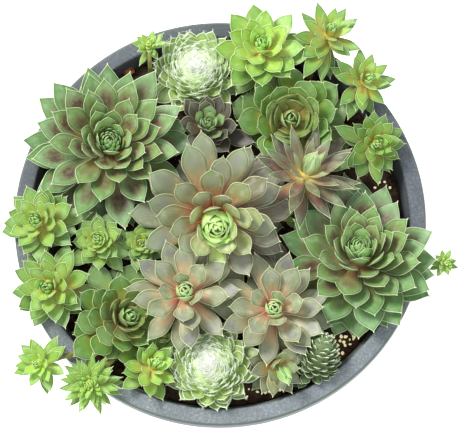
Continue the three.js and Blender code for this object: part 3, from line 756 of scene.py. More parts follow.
def bud_leaf(plant, j):
    """Leaf j of the closed bud, from the outermost: an arc that bulges out between its root and its tip."""
    spread, count, share, closed = plant["bud"]
    core = core_of(plant)
    q = j / (count - 1)
    azimuth = radians(plant.get("phase", 0) + plant["turn"] * GOLDEN_ANGLE * (plant["leaves"] + j))
    low = plant["tall"] * lerp(*BUD["low"], q)
    point, ways = frame_of_leaf(plant, low, azimuth)
    root = spread * lerp(*BUD["root"], q)
    over = spread * lerp(lerp(*BUD["tip"], closed), BUD["inmost_tip"], q**0.85) - root
    heart = (plant["reach"] - plant["hub"] * core["root"]) * HEART["length"]
    rise = plant["tall"] * core["leafy"] + heart * lerp(*BUD["rise"], q) - low
    curl = radians(lerp(lerp(*BUD["bend"], closed), BUD["inmost_bend"], q))
    width = spread * share * lerp(*BUD["width"], q) * (1 + 0.08 * wobble(plant, j, 12))
    return dict(
        ways,
        root=point + ways["out"] * root,
        pitch=degrees(atan2(rise, over) - curl / 2) + 2 * wobble(plant, j, 11),
        curl=degrees(curl),
        length=hypot(over, rise) * curl / 2 / sin(curl / 2),
        width=width,
        thickness=max(0.6, width * 0.08),
        wrap=spread * lerp(*BUD["wrap"], q),
        age=lerp(*BUD["age"], q),
        azimuth=azimuth,
        seed=0.5 + 0.5 * wobble(plant, j, 13),
        form="bud" if share < 1 else "spoon",
    )


def extra_leaf(plant, number, s, azimuth, length, width, pitch, curl, age):
    """A leaf that breaks the order, with its own size and bend and the colours of another age."""
    leaf = leaf_at(plant, s, radians(azimuth), FIRST["extra"] + number)
    return {**leaf, "length": length, "width": width, "pitch": pitch, "curl": curl, "age": age, "seed": 0.3}


def as_drawn(plant, leaf):
    """The leaf with the width, side's colour and blotch that it is drawn with."""
    inner = np.interp(leaf["age"], [0.3, 0.65], [1, plant.get("inner_broad", 1)])
    broad = plant.get("broad", 1) * inner if leaf["age"] < CLOSED else 1
    # On the blotched plants the side's paler variant is painted sheen; on taupe_middle it is the leaves' own
    # plum.
    towards, strength = plant.get("blush", (0, 0))
    seed = leaf["seed"] + strength * cos(leaf["azimuth"] - radians(towards))
    towards, strength = plant.get("clean", (0, 0))
    blotch = 1 - strength * max(0, cos(leaf["azimuth"] - radians(towards)))
    return {
        **leaf,
        "width": leaf["width"] * broad,
        "pitch": leaf["pitch"] - plant.get("flare", 0),
        "seed": min(max(seed, 0), 1),
        "blotch": blotch,
        "form": leaf.get("form", plant.get("drawn", plant["form"])),
    }


def along_leaf(leaf, t):
    """Middle points and upward normals at places t along a leaf, an arc from its pitch by its curl."""
    start, bend = radians(leaf["pitch"]), radians(leaf["curl"])
    angle = start + bend * np.asarray(t, float)[:, None]
    out = leaf["length"] * (np.sin(angle) - sin(start)) / bend
    rise = leaf["length"] * (cos(start) - np.cos(angle)) / bend
    point = leaf["root"] + leaf["out"] * out + leaf["up"] * rise
    return point, leaf["up"] * np.cos(angle) - leaf["out"] * np.sin(angle)


def tries(leaf, shares=SHORTER, lifts=DROOP_OR_LIFT):
    """The leaf bent up or down by steps, then the same with its other lengths. Longer ones only droop."""
    for share in shares:
        for lift in (d for d in lifts if share <= 1 or d <= 0):
            yield {**leaf, "pitch": leaf["pitch"] + lift, "length": leaf["length"] * share}


def solid_corners(leaf, form):
    """The corners that this leaf has in the frame's solids."""
    places, shares = zip(*SOLID_RINGS[form])
    middle, _ = along_leaf(leaf, (*places, 1))
    half = np.array((*shares, 0))[:, None] * leaf["width"] / 2
    return np.vstack([middle + leaf["side"] * half, (middle - leaf["side"] * half)[:-1]])


def settled_leaf(plant, k, corners):
    """Leaf k bent and shortened as in the frame: the try whose corners lie on most of the solid's."""
    best, found = None, 0
    for leaf in tries(frame_leaf(plant, k)):
        points = solid_corners(leaf, plant["form"]) * MM
        matches = sum(corners.find(point)[2] < CORNER_SLACK * MM for point in points)
        if matches > found:
            best, found = leaf, matches
    return best


def widest_gap(s, placed):
    """The azimuth farthest from the leaves that stand at about the same height."""
    heights = np.array([leaf["age"] for leaf in placed])
    azimuths = np.array([leaf["azimuth"] for leaf in placed])
    options = np.radians(np.arange(0, 360, GAPS["step"]))
    apart = np.abs((options[:, None] - azimuths + pi) % (2 * pi) - pi)
    apart = apart + GAPS["height"] * np.abs(heights - s)
    return options[np.argmax(apart.min(axis=1))]


# ---------------------------------------------------------------- what a finer leaf must keep clear of

class Surroundings:
    """The pot and all plants as search trees, each with its owner's name and its box."""

    def __init__(self):
        self.names, self.lows, self.highs, self.trees = [], [], [], []

    def add(self, name, points, faces):
        points = np.asarray(points)
        self.names.append(name)
        self.lows.append(points.min(axis=0))
        self.highs.append(points.max(axis=0))
        self.trees.append(BVHTree.FromPolygons(points.tolist(), faces))

    def add_node(self, name):
        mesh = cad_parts[name].data
        points = np.array([v.co for v in mesh.vertices]) / MM
        self.add(name, points, [tuple(p.vertices) for p in mesh.polygons])

    def seen(self, points):
        """Those of the points over which nothing stands, seen from the camera."""
        tilt = radians(CAMERA["elevation"])
        back = Vector((0, -cos(tilt), sin(tilt)))
        left = np.asarray(points)
        for low, high, tree in zip(self.lows, self.highs, self.trees):
            beside = (left[:, 0] > low[0]) & (left[:, 0] < high[0])
            near = beside & (left[:, 1] > low[1]) & (left[:, 1] < high[1] + HIDDEN_BEHIND)
            hidden = [i for i in np.flatnonzero(near) if tree.ray_cast(left[i], back)[0]]
            left = np.delete(left, hidden, axis=0)
        return left

    def block(self, name, points, faces):
        low, high = points.min(axis=0), points.max(axis=0)
        near = np.all((np.array(self.lows) < high) & (np.array(self.highs) > low), axis=1)
        tree = BVHTree.FromPolygons(points.tolist(), faces)
        return any(self.names[i] != name and tree.overlap(self.trees[i]) for i in np.flatnonzero(near))


def room_of(leaf, form):
    """A plain skin a little larger than the leaf."""
    t = np.array(ROOM["places"])
    middle, normal = along_leaf(leaf, t)
    across = leaf["side"] * (outline(form, t)[:, None] * leaf["width"] / 2 + ROOM["wider"])
    over, under = normal * ROOM["higher"], normal * (leaf["thickness"] + ROOM["wider"])
    corners = [middle + across, middle + over, middle - across, middle - under]
    return np.stack(corners, axis=1).reshape(-1, 3), ring_faces(len(t), ROOM["corners"])


def clear(leaf, plant, around):
    """Takes the leaf's room if nothing else stands in it, and says whether it did."""
    points, faces = room_of(leaf, plant["form"])
    longer = leaf["length"] > plant["reach"] - plant["hub"] * core_of(plant)["root"] + 1
    high = points[-1][2] > plant["z"] + LOW_LEAF["highest"]
    if longer and (high or hypot(*points[-1][:2]) > LOW_LEAF["within"]):
        return False
    outer = points[ROOM["corners"] * ROOM["first"] :]
    if min(z - soil_top(x, y) for x, y, z in outer) < ROOM["over_soil"]:
        return False
    if around.block(plant["name"], points, faces):
        return False
    around.add(plant["name"], points, faces)
    return True


def grow_fillers(plant, placed, around):
    """Finer leaves in the widest gaps between the others, bent clear of the neighbours or left out."""
    grown = []
    for j in range(plant["fill"]):
        s = lerp(LOW_LEAF["age"], 0.8, (j + 0.5) / plant["fill"])
        azimuth = widest_gap(s, placed)
        shares = (LOW_LEAF["shares"] if s < 0.05 else []) + SHORTER
        options = tries(leaf_at(plant, s, azimuth, FIRST["filler"] + j), shares)
        leaf = next((leaf for leaf in options if clear(leaf, plant, around)), None)
        if leaf:
            grown.append(leaf)
        placed = placed + [dict(age=s, azimuth=azimuth)]
    return grown


def soil_points():
    """Points just over the soil in a grid, without the places that stay bare."""
    reach = inner_radius(SOIL["edge_height"]) - 5
    ticks = np.arange(-reach, reach, COVER["step"])
    places = [(x, y) for x in ticks for y in ticks if hypot(x, y) < reach]
    kept = [(x, y) for x, y in places if all(hypot(x - a, y - b) > far for a, b, far in BARE)]
    return [(x, y, soil_top(x, y) + 1) for x, y in kept]


def leaf_towards(plant, place, number):
    """An old leaf that ends a little past a place."""
    x, y = place[0] - plant["at"][0], place[1] - plant["at"][1]
    leaf = leaf_at(plant, COVER["age"], atan2(y, x), number)
    root = hypot(*(leaf["root"][:2] - plant["at"]))
    length = max(hypot(x, y) - root + COVER["past"], COVER["shortest"] * plant["reach"])
    return {**leaf, "length": length, "width": leaf["width"] * COVER["broad"]}


def tip_of(leaf):
    return along_leaf(leaf, [1])[0][0]


def cover_place(plant, place, number, grown, around):
    """Grows an old leaf over a place, if one keeps clear of all, and says whether it did."""
    leaves = grown[plant["name"]]
    others = [tip_of(leaf) for k, leaf in leaves if k >= FIRST["cover"]]
    for leaf in tries(leaf_towards(plant, place, number), COVER["shares"], COVER["lifts"]):
        tip = tip_of(leaf)
        free = all(hypot(*(tip - other)[:2]) >= COVER["apart"] for other in others)
        if free and clear(leaf, plant, around):
            leaves.append((number, leaf))
            return True
    return False


def cover_soil(grown, around):
    """Adds old leaves over soil that still shows, the widest gap first, from the nearest plant in reach."""
    able = [p for p in PLANTS if p["form"] not in COVER["without"] and hypot(*p["at"]) < COVER["within"]]
    number = FIRST["cover"]
    for plant in (p for name in WANTED for p in able if p["name"] == name):
        for place in WANTED[plant["name"]]:
            cover_place(plant, place, number, grown, around)
            number += 1
    left = around.seen(soil_points())
    while len(left):
        apart = np.hypot(left[:, None, 0] - left[None, :, 0], left[:, None, 1] - left[None, :, 1])
        crowds = (apart < COVER["crowd"]).sum(axis=1)
        widest = np.argmax(crowds)
        if crowds[widest] < COVER["fewest"]:
            break
        place = left[widest]
        far = {p["name"]: hypot(*(place[:2] - p["at"])) / p["reach"] for p in able}
        near = [p for p in able if far[p["name"]] < COVER["longest"]]
        near = sorted(near, key=lambda p: far[p["name"]])[: COVER["plants"]]
        covered = any(cover_place(plant, place, number, grown, around) for plant in near)
        number += 1
        left = left[np.argsort(apart[widest])[1:]]
        left = around.seen(left) if covered else left


# ---------------------------------------------------------------- fine leaves

# The rings of a leaf in the frame's solids, as [place along the leaf, share of its width].
SOLID_RINGS = dict(
    blade=[(0.62, 1), (0.88, 0.66)],
    spoon=[(0.66, 1), (0.9, 0.74)],
    short=[(0.5, 1), (0.84, 0.72)],
    slim=[(0.5, 1)],
    scale=[(0.6, 1)],
)
# Fine outlines as [place along the blade, share of its width]. The blade ends in a short point.
FORMS = dict(
    blade=[
        (0, 0.38), (0.3, 0.6), (0.5, 0.86), (0.66, 1), (0.76, 0.92), (0.87, 0.6), (0.95, 0.26), (1, 0.05),
    ],
    spoon=[
        (0, 0.38), (0.34, 0.62), (0.55, 0.88), (0.7, 1), (0.81, 0.92), (0.9, 0.66), (0.955, 0.33), (1, 0.05),
    ],
    short=[(0, 0.5), (0.25, 0.78), (0.5, 1), (0.68, 0.93), (0.84, 0.64), (0.94, 0.28), (1, 0.05)],
    slim=[(0, 0.6), (0.25, 0.84), (0.5, 1), (0.7, 0.84), (0.88, 0.45), (1, 0.1)],
    bud=[(0, 0.6), (0.3, 0.86), (0.55, 1), (0.75, 0.86), (0.9, 0.5), (1, 0.08)],
    scale=[(0, 0.8), (0.3, 0.95), (0.6, 1), (0.8, 0.84), (0.93, 0.46), (1, 0.12)],
    diamond=[(0, 0.8), (0.3, 0.95), (0.5, 1), (0.68, 0.86), (0.84, 0.54), (0.95, 0.2), (1, 0.08)],
)
POINT = dict(length=1.5, share=0.09)
# A leaf's section: the bulge above and the keel below as shares of its thickness, the rounding of its edge
# in millimetres, and the rest as shares of its half width. sway, as a share of its length, and roll, in
# degrees, are how far it may leave its arc.
SECTION = dict(
    bulge=0.1, keel=0.86, edge=0.12, deepest_cup=0.55, wave=0.05, ripple=0.015, sway=0.025, roll=8,
)
# How strong blotches are at these ages of a leaf, how strong they are by chance, how far they lie from
# their usual place by chance, and how much nearer to the root on inner leaves.
BLOTCH = dict(
    ages=[-0.2, 0.05, 0.3, 0.66, 0.8], strengths=[0.2, 0.7, 1, 0.9, 0.1], usual=0.7, chance=0.42, apart=0.05,
    inwards=0.06,
)


def smooth_curve(places, values, t):
    """Values at t on a smooth curve through the given points."""
    places, values = np.array(places, float), np.array(values, float)
    slopes = np.gradient(values, places)
    i = np.clip(np.searchsorted(places, t) - 1, 0, len(places) - 2)
    span = places[i + 1] - places[i]
    u = (t - places[i]) / span
    ease = u * u * (3 - 2 * u)
    leave, arrive = u * (1 - u) ** 2, u * u * (u - 1)
    return lerp(values[i], values[i + 1], ease) + span * (leave * slopes[i] + arrive * slopes[i + 1])


def outline(form, t):
    return np.maximum(smooth_curve(*zip(*FORMS[form]), t), 0.02)


def skin_size(plant, leaf):
    """How many rings a leaf's skin has, and the points of each."""
    if leaf["width"] < 5:
        return 11, 8
    if plant["form"] == "scale" or leaf["width"] < 9:
        return 16, 12
    return 22, 14


def half_widths(leaf, t):
    """Half the leaf's width at places t, a little rippled, with a fine point at the end."""
    point = min(POINT["length"], POINT["share"] * leaf["length"]) / leaf["length"]
    half = outline(leaf["form"], np.minimum(t / (1 - point), 1)) * leaf["width"] / 2
    half = half * np.where(t > 1 - point, (1.03 - t) / (point + 0.03), 1)
    return half * (1 + SECTION["ripple"] * np.sin(23 * t + 9 * leaf["seed"]) * (t < 0.9))


def leaf_skin(plant, k, leaf, t, half, across, above):
    """Rings of points of a fleshy leaf: nearly flat above, keeled below, with a thin margin."""
    middle, normal = along_leaf(leaf, t)
    sway = leaf["length"] * SECTION["sway"] * wobble(plant, k, 6) * t**2
    middle = middle + leaf["side"] * sway[:, None]
    roll = radians(SECTION["roll"]) * wobble(plant, k, 7) * t[:, None]
    side = leaf["side"] * np.cos(roll) + normal * np.sin(roll)
    normal = normal * np.cos(roll) - leaf["side"] * np.sin(roll)
    thick = leaf["thickness"] * np.clip(half / half.max() * 1.6, 0.08, 1)[:, None]
    half = half[:, None]
    wave = SECTION["wave"] * np.sin(9 * t + 20 * leaf["seed"])[:, None] * half * across**3
    cup = np.minimum((half * across) ** 2 / (2 * leaf["wrap"]), SECTION["deepest_cup"] * half)
    bulge = SECTION["bulge"] * (1 - np.abs(across) ** 2.4) * (above > 0)
    keel = -SECTION["keel"] * (1 - np.abs(across) ** 1.7) * (above < 0)
    rounding = SECTION["edge"] * above * np.minimum(1, half * 2)
    height = (bulge + keel) * thick + cup + wave + rounding
    points = middle[:, None, :] + side[:, None, :] * (half * across)[..., None]
    return points + normal[:, None, :] * height[..., None]


def blotch_on(plant, k, leaf, t, sideways):
    """How strongly the blotch shows at each point of a leaf, from 0 to 1."""
    place, length, share, strength = PAINTS[plant["paint"]]["spot"]
    place = place + BLOTCH["apart"] * wobble(plant, k, 9) - BLOTCH["inwards"] * leaf["age"]
    patch = np.exp(-((t[:, None] - place) / length) ** 2 - (sideways / (leaf["width"] * share)) ** 2)
    ripe = np.interp(leaf["age"], BLOTCH["ages"], BLOTCH["strengths"])
    varied = BLOTCH["usual"] + BLOTCH["chance"] * wobble(plant, k, 10)
    return np.clip(patch * (strength * varied * ripe * leaf["blotch"]), 0, 1)


def add_leaf(shape, plant, k, leaf):
    """Adds one leaf, with the marks that its paint reads, and gives its tip."""
    rings, around = skin_size(plant, leaf)
    t = 1 - (1 - np.linspace(0, 1, rings)) ** 1.5
    half = half_widths(leaf, t)
    phi = 2 * pi * np.arange(around) / around
    across = np.sign(np.cos(phi)) * np.abs(np.cos(phi)) ** 0.7
    above = np.sin(phi)
    points = leaf_skin(plant, k, leaf, t, half, across, above)
    full = np.ones((rings, around))
    sideways = half[:, None] * across
    top = ((above >= -0.05) | (leaf["age"] > 0.85)) * full
    edge = np.minimum(half[:, None] * (1 - np.abs(across)), (1 - t)[:, None] * leaf["length"] * 0.45)
    edge = edge * min(max(11 / leaf["width"], 1), 2)
    marks = np.stack([
        t[:, None] * full,
        edge,
        leaf["age"] * full,
        blotch_on(plant, k, leaf, t, sideways) * top,
        top,
        leaf["seed"] * full,
        sideways,
        t[:, None] * leaf["length"] * full,
        (leaf["seed"] * 50 + k) * full,
    ], axis=-1)
    shape.add(points.reshape(-1, 3), ring_faces(rings, around), 0, marks.reshape(-1, 9))
    return points[-1].mean(axis=0)


def add_core(shape, plant):
    """The core, and the stem down into the soil or over to it as a runner."""
    below, around = FINE_CORE["below"], FINE_CORE["around"]
    points = []
    for share in np.linspace(-below, 1, FINE_CORE["rings"]):
        point, turn = axis_at(plant, plant["tall"] * share)
        radius = core_radius(plant, max(share, 0)) * min(1, FINE_CORE["foot"] + (share + below) * 3)
        ring = level_ring(1, 0, around) @ turn.T
        points.extend(point + ring * radius * FINE_CORE["share"])
    plain = np.tile([0.1, 5, 0.5, 0, 1, 0.3, 0, 0, 0], (len(points), 1))
    shape.add(points, ring_faces(FINE_CORE["rings"], around), 0, plain)
    radius = min(STEM["widest"], plant["hub"] * STEM["hub_share"]) * FINE_CORE["stem_share"]
    foot = np.array([*(plant.get("foot", plant["at"])), 0.0])
    foot[2] = soil_top(foot[0], foot[1]) - STEM["sunk"]
    top = np.array([*plant["at"], plant["z"]], float)
    arch = STEM["runner_arch"] if "foot" in plant else 0
    knee = np.array([foot[0], foot[1], plant["z"] + arch])
    over = lerp(foot, top, 0.6)
    over[2] = plant["z"] + arch / 2
    t = np.linspace(0, 1, 14)[:, None]
    path = foot * (1 - t) ** 3 + 3 * knee * t * (1 - t) ** 2 + 3 * over * t**2 * (1 - t) + top * t**3
    tube(shape, path, [radius * (1 + 0.05 * sin(3 * i)) for i in range(len(path))], 10, 1)


def inner_radius(z):
    for (z0, r0), (z1, r1) in zip(WALL, WALL[1:]):
        if z <= z1:
            return lerp(r0, r1, (z - z0) / (z1 - z0))
    return WALL[-1][1]


def soil_top(x, y):
    share = hypot(x, y) / inner_radius(SOIL["edge_height"])
    return SOIL["edge_height"] + SOIL["mound"] * (1 - share * share)


# ---------------------------------------------------------------- hairs

# A tuft's fewest hairs and how many more inner leaves have, the reach of its hairs on outer and on inner
# leaves, and how loose their roots are. Then the threads from each tip to the nearest ones.
TUFT = dict(fewest=3, more=9, reach=(0.45, 0.9), loose=0.25, radii=(0.04, 0.08))
THREADS = dict(nearest=3, chance=1.1, more=2.2, loose=0.4, radii=(0.03, 0.06))
# The swirl of strands over the heart, with felt in its middle.
WEB = dict(strands=1150, spread=7.2, farthest=15, radii=(0.05, 0.1), felt=2.6, top=2.8)


def add_strand(shape, start, end, rise, radius, rng, steps=5):
    """A thin thread from point to point, bowed up a little."""
    t = np.linspace(0, 1, steps)[:, None]
    bow = np.array([0, 0, rise]) + rng.normal(0, 0.2, 3)
    path = start * (1 - t) + end * t + bow * 4 * t * (1 - t)
    tube(shape, path, [radius] * steps, 3, 2)


def add_web(shape, plant, tips, ages, rng):
    """A cobweb houseleek's hairs: tufts at the tips, threads to the next tips, and a swirl of felt."""
    tips = np.array(tips)
    for tip, age in zip(tips, ages):
        inner, loose = max(age, 0), THREADS["loose"]
        for _ in range(int(TUFT["fewest"] + TUFT["more"] * inner)):
            end = tip + rng.normal(0, lerp(*TUFT["reach"], inner), 3) + (0, 0, 0.15)
            start = tip + rng.normal(0, TUFT["loose"], 3)
            add_strand(shape, start, end, 0.1, rng.uniform(*TUFT["radii"]), rng, 3)
        for near in np.argsort(np.linalg.norm(tips - tip, axis=1))[1 : THREADS["nearest"] + 1]:
            for _ in range(int(rng.uniform(0, THREADS["chance"]) + THREADS["more"] * inner)):
                ends = tip + rng.normal(0, loose, 3), tips[near] + rng.normal(0, loose, 3)
                add_strand(shape, *ends, 0.15, rng.uniform(*THREADS["radii"]), rng)
    centre, turn = axis_at(plant, plant["tall"] + 1.5)

    def over_heart(angle, far, lift):
        dome = WEB["top"] - 0.03 * far**2 + lift
        return centre + turn @ np.array([cos(angle) * far, sin(angle) * far, dome])

    for _ in range(WEB["strands"]):
        far = min(abs(rng.normal(0, WEB["spread"])), WEB["farthest"])
        first, sweep = rng.uniform(0, 2 * pi), rng.uniform(2.5, 6) / (far + 2)
        lift, drift = rng.normal(0.12 * far, 0.35), rng.uniform(0.75, 1.1)
        path = [over_heart(first + sweep * u, far * lerp(1, drift, u), lift) for u in np.linspace(0, 1, 6)]
        tube(shape, path, [rng.uniform(*WEB["radii"])] * 6, 3, 2)
    rings, around = 9, 36
    points = []
    for i in range(rings):
        for j in range(around):
            far = WEB["felt"] * (1 - i / rings) * (1 + 0.09 * rng.normal())
            points.append(over_heart(2 * pi * j / around, far, rng.normal(-0.6, 0.22)))
    shape.add(points, ring_faces(rings, around), 2)


# ---------------------------------------------------------------- the plants

def grow(plant, around):
    """A plant's leaves, each with a number for its own small differences: the frame's, and finer ones."""
    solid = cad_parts[plant["name"]].data.vertices
    corners = KDTree(len(solid))
    for i, vertex in enumerate(solid):
        corners.insert(vertex.co, i)
    corners.balance()
    settled = [settled_leaf(plant, k, corners) for k in range(plant["leaves"])]
    leaves = [(k, leaf) for k, leaf in enumerate(settled) if leaf]
    fillers = grow_fillers(plant, [leaf for _, leaf in leaves], around)
    leaves += list(enumerate(fillers, FIRST["filler"]))
    leaves = [(k, leaf) for k, leaf in leaves if leaf["age"] < plant.get("until", CLOSED)]
    extra = [extra_leaf(plant, i, *facts) for i, facts in enumerate(plant.get("extra", ()))]
    leaves += list(enumerate(extra, FIRST["extra"]))
    return leaves + [(FIRST["bud"] + j, bud_leaf(plant, j)) for j in range(plant["bud"][1])]


def make_plants():
    stem, hair = stem_paint(), hair_paint()
    skins = {name: leaf_paint(name) for name in PAINTS}
    around = Surroundings()
    for name in ("pot", *(plant["name"] for plant in PLANTS)):
        around.add_node(name)
    grown = {plant["name"]: grow(plant, around) for plant in PLANTS}
    cover_soil(grown, around)
    for number, plant in enumerate(PLANTS):
        leaves = grown[plant["name"]]
        shape = Shape()
        add_core(shape, plant)
        tips = [add_leaf(shape, plant, k, as_drawn(plant, leaf)) for k, leaf in leaves]
        if plant["paint"] == "cobweb":
            ages = [leaf["age"] for _, leaf in leaves]
            add_web(shape, plant, tips, ages, np.random.default_rng(100 + number))
        made = shape.object(plant["name"] + "_plant", [skins[plant["paint"]], stem, hair])
        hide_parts(plant["name"])


# ---------------------------------------------------------------- pot

def pot_section():
    """The bowl's section as radius and height, from under the foot up the outside and down the inside."""
    outer, height, edge = POT["rim_radius"], POT["height"], POT["edge"]
    lip, inner = height - POT["lip_height"], outer - POT["rim_width"]

    def corner(x, z, start):
        angles = [radians(start + 18 * i) for i in range(6)]
        return [(x + edge * cos(a), z + edge * sin(a)) for a in angles]

    return [
        (POT["foot_radius"] - 2, 0),
        (POT["foot_radius"] - 0.4, 0.8),
        *((r + POT["wall"], z) for z, r in WALL[1:-1]),
        (outer - POT["lip_step"], lip),
        *corner(outer - edge, lip + edge, -90),
        *corner(outer - edge, height - edge, 0),
        *corner(inner + edge, height - edge, 90),
        *((r, z) for z, r in reversed(WALL[:-1])),
    ]


def drill(pot, angle):
    """Cuts a drain hole through the bowl's floor."""
    far = POT["drain_circle"]
    bpy.ops.mesh.primitive_cylinder_add(
        vertices=32, radius=POT["drain_radius"] * MM, depth=3 * POT["floor"] * MM,
        location=(far * cos(angle) * MM, far * sin(angle) * MM, POT["floor"] / 2 * MM),
    )
    cutter = bpy.context.object
    cut = pot.modifiers.new("drain", "BOOLEAN")
    cut.object = cutter
    cut.operation = "DIFFERENCE"
    bpy.context.view_layer.objects.active = pot
    bpy.ops.object.modifier_apply(modifier=cut.name)
    bpy.data.objects.remove(cutter)


def make_pot():
    """The bowl as a fine lathe with rounded edges and three drain holes."""
    rings = [level_ring(r, z, 192) for r, z in pot_section()]
    shape = Shape()
    shape.add(*closed_skin((0, 0, 0), rings, (0, 0, POT["floor"])))
    pot = shape.object("pot_bowl", [pot_paint()])
    for k in range(POT["drains"]):
        drill(pot, radians(90 + 360 * k / POT["drains"]))
    pot.data.set_sharp_from_angle(angle=radians(40))
    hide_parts("pot")


# The bowl's painted shade towards its middle and its back, and where the lip's outer face with its painted
# light and the band of painted shade along its upper edge begin, all in metres.
BOWL_SHADE = dict(middle=(-0.075, 0.005), back=(0.06, 0.12))
LIP_FACE = dict(far=(0.1234, 0.1242), low=(0.088, 0.09), shaded_edge=(0.1012, 0.1026))


def pot_paint():
    """Speckled grey stoneware with painted light towards the front and painted shade towards the back, a
    band of painted shade along the lip's upper outer edge, and a paler, greener lip face that is painted
    light from the floor.
    """
    paint = Paint("bowl_grey")
    place = paint.place()
    x, y, z = paint.parts(place)
    speck = paint.noise(place, 750, 4, 0.75)
    cloud = paint.noise(place, 22, 4, 0.55)
    streak = paint.noise(paint.scaled(place, (60, 60, 900)), 1.0, 3)
    body = paint.ramp(cloud, [(0.3, 110, 119, 123), (0.55, 126, 135, 140), (0.75, 142, 151, 154)])
    grains = paint.ramp(speck, [(0.32, 86, 90, 96), (0.5, 124, 130, 136), (0.68, 180, 186, 190)])
    body = paint.mix(0.55, body, grains)
    body = paint.mix(paint.smooth(streak, 0.35, 0.7, 0, 0.3), body, srgb(96, 102, 106))
    # Painted light and shade: the front of the bowl is lighter, its middle and back darker.
    shade = paint.mix(paint.smooth(y, *BOWL_SHADE["middle"]), (1.0, 1.0, 1.0, 1), (0.56, 0.555, 0.6, 1))
    shade = paint.mix(paint.smooth(y, *BOWL_SHADE["back"]), shade, (0.48, 0.485, 0.51, 1))
    body = paint.mix(1.0, body, shade, "MULTIPLY")
    far = paint.math("SQRT", paint.math("MULTIPLY_ADD", x, x, paint.math("MULTIPLY", y, y)))
    over_lip = paint.smooth(z, *LIP_FACE["low"])
    outside = paint.math("MULTIPLY", paint.smooth(far, *LIP_FACE["far"]), over_lip)
    pale_green_patches = paint.math("MULTIPLY", outside, paint.smooth(cloud, 0.4, 0.62, 0.05, 0.6))
    # Painted light: the lip's outer face is painted paler and, in patches, greener, as if lit by the white
    # floor.
    body = paint.mix(paint.math("MULTIPLY", outside, 0.45), body, srgb(140, 146, 148))
    body = paint.mix(pale_green_patches, body, srgb(138, 148, 136))
    # Painted shade: a dark band along the upper edge of the lip's outer face, under the rim's rounded
    # corner.
    shaded_edge = paint.math("MULTIPLY", outside, paint.smooth(z, *LIP_FACE["shaded_edge"]))
    body = paint.mix(paint.math("MULTIPLY", shaded_edge, 0.75), body, srgb(84, 94, 86))
    paint.link(body, "Base Color")
    paint.link(paint.smooth(speck, 0.3, 0.7, 0.62, 0.82), "Roughness")
    paint.bump(speck, 0.35, 0.0004)
    paint.set(Specular_IOR_Level=0.35)
    return paint.material


# ---------------------------------------------------------------- soil

def soil_paint(name, dark, light, scale, painted_glow=0):
    """A grainy run from a dark to a light colour. With its last argument, it also shines in a pale cream,
    painted light that keeps it bright in the plants' shade.
    """
    paint = Paint(name)
    place = paint.place()
    patch = paint.noise(place, scale, 5, 0.65)
    paint.link(paint.ramp(patch, [(0.35, *dark), (0.7, *light)]), "Base Color")
    paint.bump(paint.noise(place, scale * 4, 4, 0.7), 0.8, 0.001)
    paint.set(Roughness=0.92, Specular_IOR_Level=0.2)
    if painted_glow:
        paint.set(Emission_Color=srgb(255, 242, 184), Emission_Strength=painted_glow)
    return paint.material


def make_soil():
    """The soil's body with a rough top."""
    rng = np.random.default_rng(7)
    around, rows = 128, 44
    edge = inner_radius(SOIL["edge_height"]) - SOIL["gap"]
    low = POT["floor"] + SOIL["gap"]
    side = [(inner_radius(low) - SOIL["gap"], low), *((r - SOIL["gap"], z) for z, r in WALL[1:-1])]
    rings = [level_ring(r, z, around) for r, z in (*side, (edge, SOIL["edge_height"]))]
    for i in range(1, rows):
        row = level_ring(edge * (1 - i / rows), 0, around)
        rings.append([(x, y, soil_top(x, y) + rng.normal(0, 0.5)) for x, y, _ in row])
    shape = Shape()
    shape.add(*closed_skin((0, 0, low), rings, (0, 0, soil_top(0, 0))))
    soil = shape.object("soil_body", [soil_paint("soil_dark", (44, 34, 27), (92, 72, 54), 160)])
    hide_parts("soil")


def lump(rng, size, level=1):
    """A rough grain, as points and faces, from a ball whose corners are moved."""
    ball = bmesh.new()
    bmesh.ops.create_icosphere(ball, subdivisions=level, radius=1)
    points = np.array([v.co for v in ball.verts])
    faces = [tuple(v.index for v in f.verts) for f in ball.faces]
    ball.free()
    stretch = size * rng.uniform(0.6, 1.25, 3)
    points = points * (1 + rng.normal(0, 0.13, (len(points), 1))) * stretch
    a = rng.uniform(0, 2 * pi)
    turn = np.array([[cos(a), -sin(a), 0], [sin(a), cos(a), 0], [0, 0, 1]])
    return points @ turn.T, faces


def random_place(rng, reach):
    """A random place on the soil, up to reach from the bowl's axis."""
    r, a = reach * sqrt(rng.uniform()), rng.uniform(0, 2 * pi)
    return r * cos(a), r * sin(a)


# Loose grains: their number, their sizes and the share that is brown.
GRAINS = dict(count=1400, sizes=(0.5, 1.5), brown=0.25)
# Perlite lies in these loose clusters: centre x, centre y, spread, grains. Its grains keep apart, have these
# sizes, and stand this share of their size over the soil.
PERLITE = [(74, -77, 8, 60), (27, -105, 9, 40), (102, 22, 7, 9), (-8, -49, 30, 14), (0, 0, 95, 80)]
PERLITE_GRAIN = dict(apart=2.3, sizes=(0.8, 1.4), up=(0.6, 1.6))
BARK_CHIP = (-57.7, 98.4)
# Bits of twig, the first of them at a place of its own.
TWIGS = dict(count=26, first=(-92, -59), reach=105, lengths=(5, 14), radii=(0.3, 0.6))


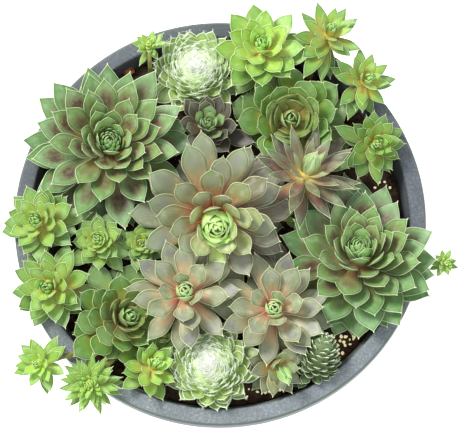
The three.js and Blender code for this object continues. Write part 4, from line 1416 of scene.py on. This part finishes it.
def make_grains():
    rng = np.random.default_rng(11)
    shape = Shape()
    for _ in range(GRAINS["count"]):
        size = rng.uniform(*GRAINS["sizes"])
        x, y = random_place(rng, inner_radius(SOIL["edge_height"]) - 2.5)
        points, faces = lump(rng, size)
        points += (x, y, soil_top(x, y) + size * 0.35)
        shape.add(points, faces, int(rng.uniform() < GRAINS["brown"]))
    dark = soil_paint("grain_dark", (46, 36, 29), (96, 76, 58), 300)
    bark = soil_paint("grain_brown", (92, 66, 46), (150, 114, 80), 300)
    shape.object("soil_grains", [dark, bark], smooth=False)


def make_perlite():
    rng = np.random.default_rng(5)
    shape = Shape()
    placed = []
    reach = inner_radius(SOIL["edge_height"]) - 3
    for cx, cy, spread, count in PERLITE:
        for _ in range(count):
            x, y = cx + rng.normal(0, spread / 2), cy + rng.normal(0, spread / 2)
            near = any(hypot(x - a, y - b) < PERLITE_GRAIN["apart"] for a, b in placed)
            if near or hypot(x, y) > reach:
                continue
            placed.append((x, y))
            size = rng.uniform(*PERLITE_GRAIN["sizes"])
            points, faces = lump(rng, size)
            points += (x, y, soil_top(x, y) + size * rng.uniform(*PERLITE_GRAIN["up"]))
            shape.add(points, faces)
    # The perlite shines a little: painted light, so it stays bright in the plants' shade.
    paint = soil_paint("perlite_cream", (250, 236, 176), (255, 254, 232), 500, painted_glow=0.5)
    shape.object("perlite", [paint], smooth=False)


def make_litter():
    """A chip of orange-brown bark and bits of twig on the soil."""
    rng = np.random.default_rng(9)
    shape = Shape()
    x, y = BARK_CHIP
    points, faces = lump(rng, 5, 3)
    shape.add(points * (1.1, 0.8, 0.4) + (x, y, soil_top(x, y) + 3), faces)
    for number in range(TWIGS["count"]):
        a, length = rng.uniform(0, 2 * pi), rng.uniform(*TWIGS["lengths"])
        x, y = random_place(rng, TWIGS["reach"]) if number else TWIGS["first"]
        along = np.linspace(-0.5, 0.5, 7) * length
        xs, ys = x + cos(a) * along, y + sin(a) * along
        zs = [soil_top(*place) + 1.1 + rng.normal(0, 0.15) for place in zip(xs, ys)]
        tube(shape, np.column_stack([xs, ys, zs]), [rng.uniform(*TWIGS["radii"])] * 7, 6, 1)
    chip = soil_paint("bark_orange", (156, 96, 56), (232, 168, 112), 240)
    twig = soil_paint("twig_brown", (74, 52, 38), (132, 100, 74), 500)
    shape.object("bark_and_twigs", [chip, twig])


# ---------------------------------------------------------------- all together

make_camera()
make_light()
make_floor()
make_pot()
make_soil()
make_grains()
make_perlite()
make_litter()
make_plants()
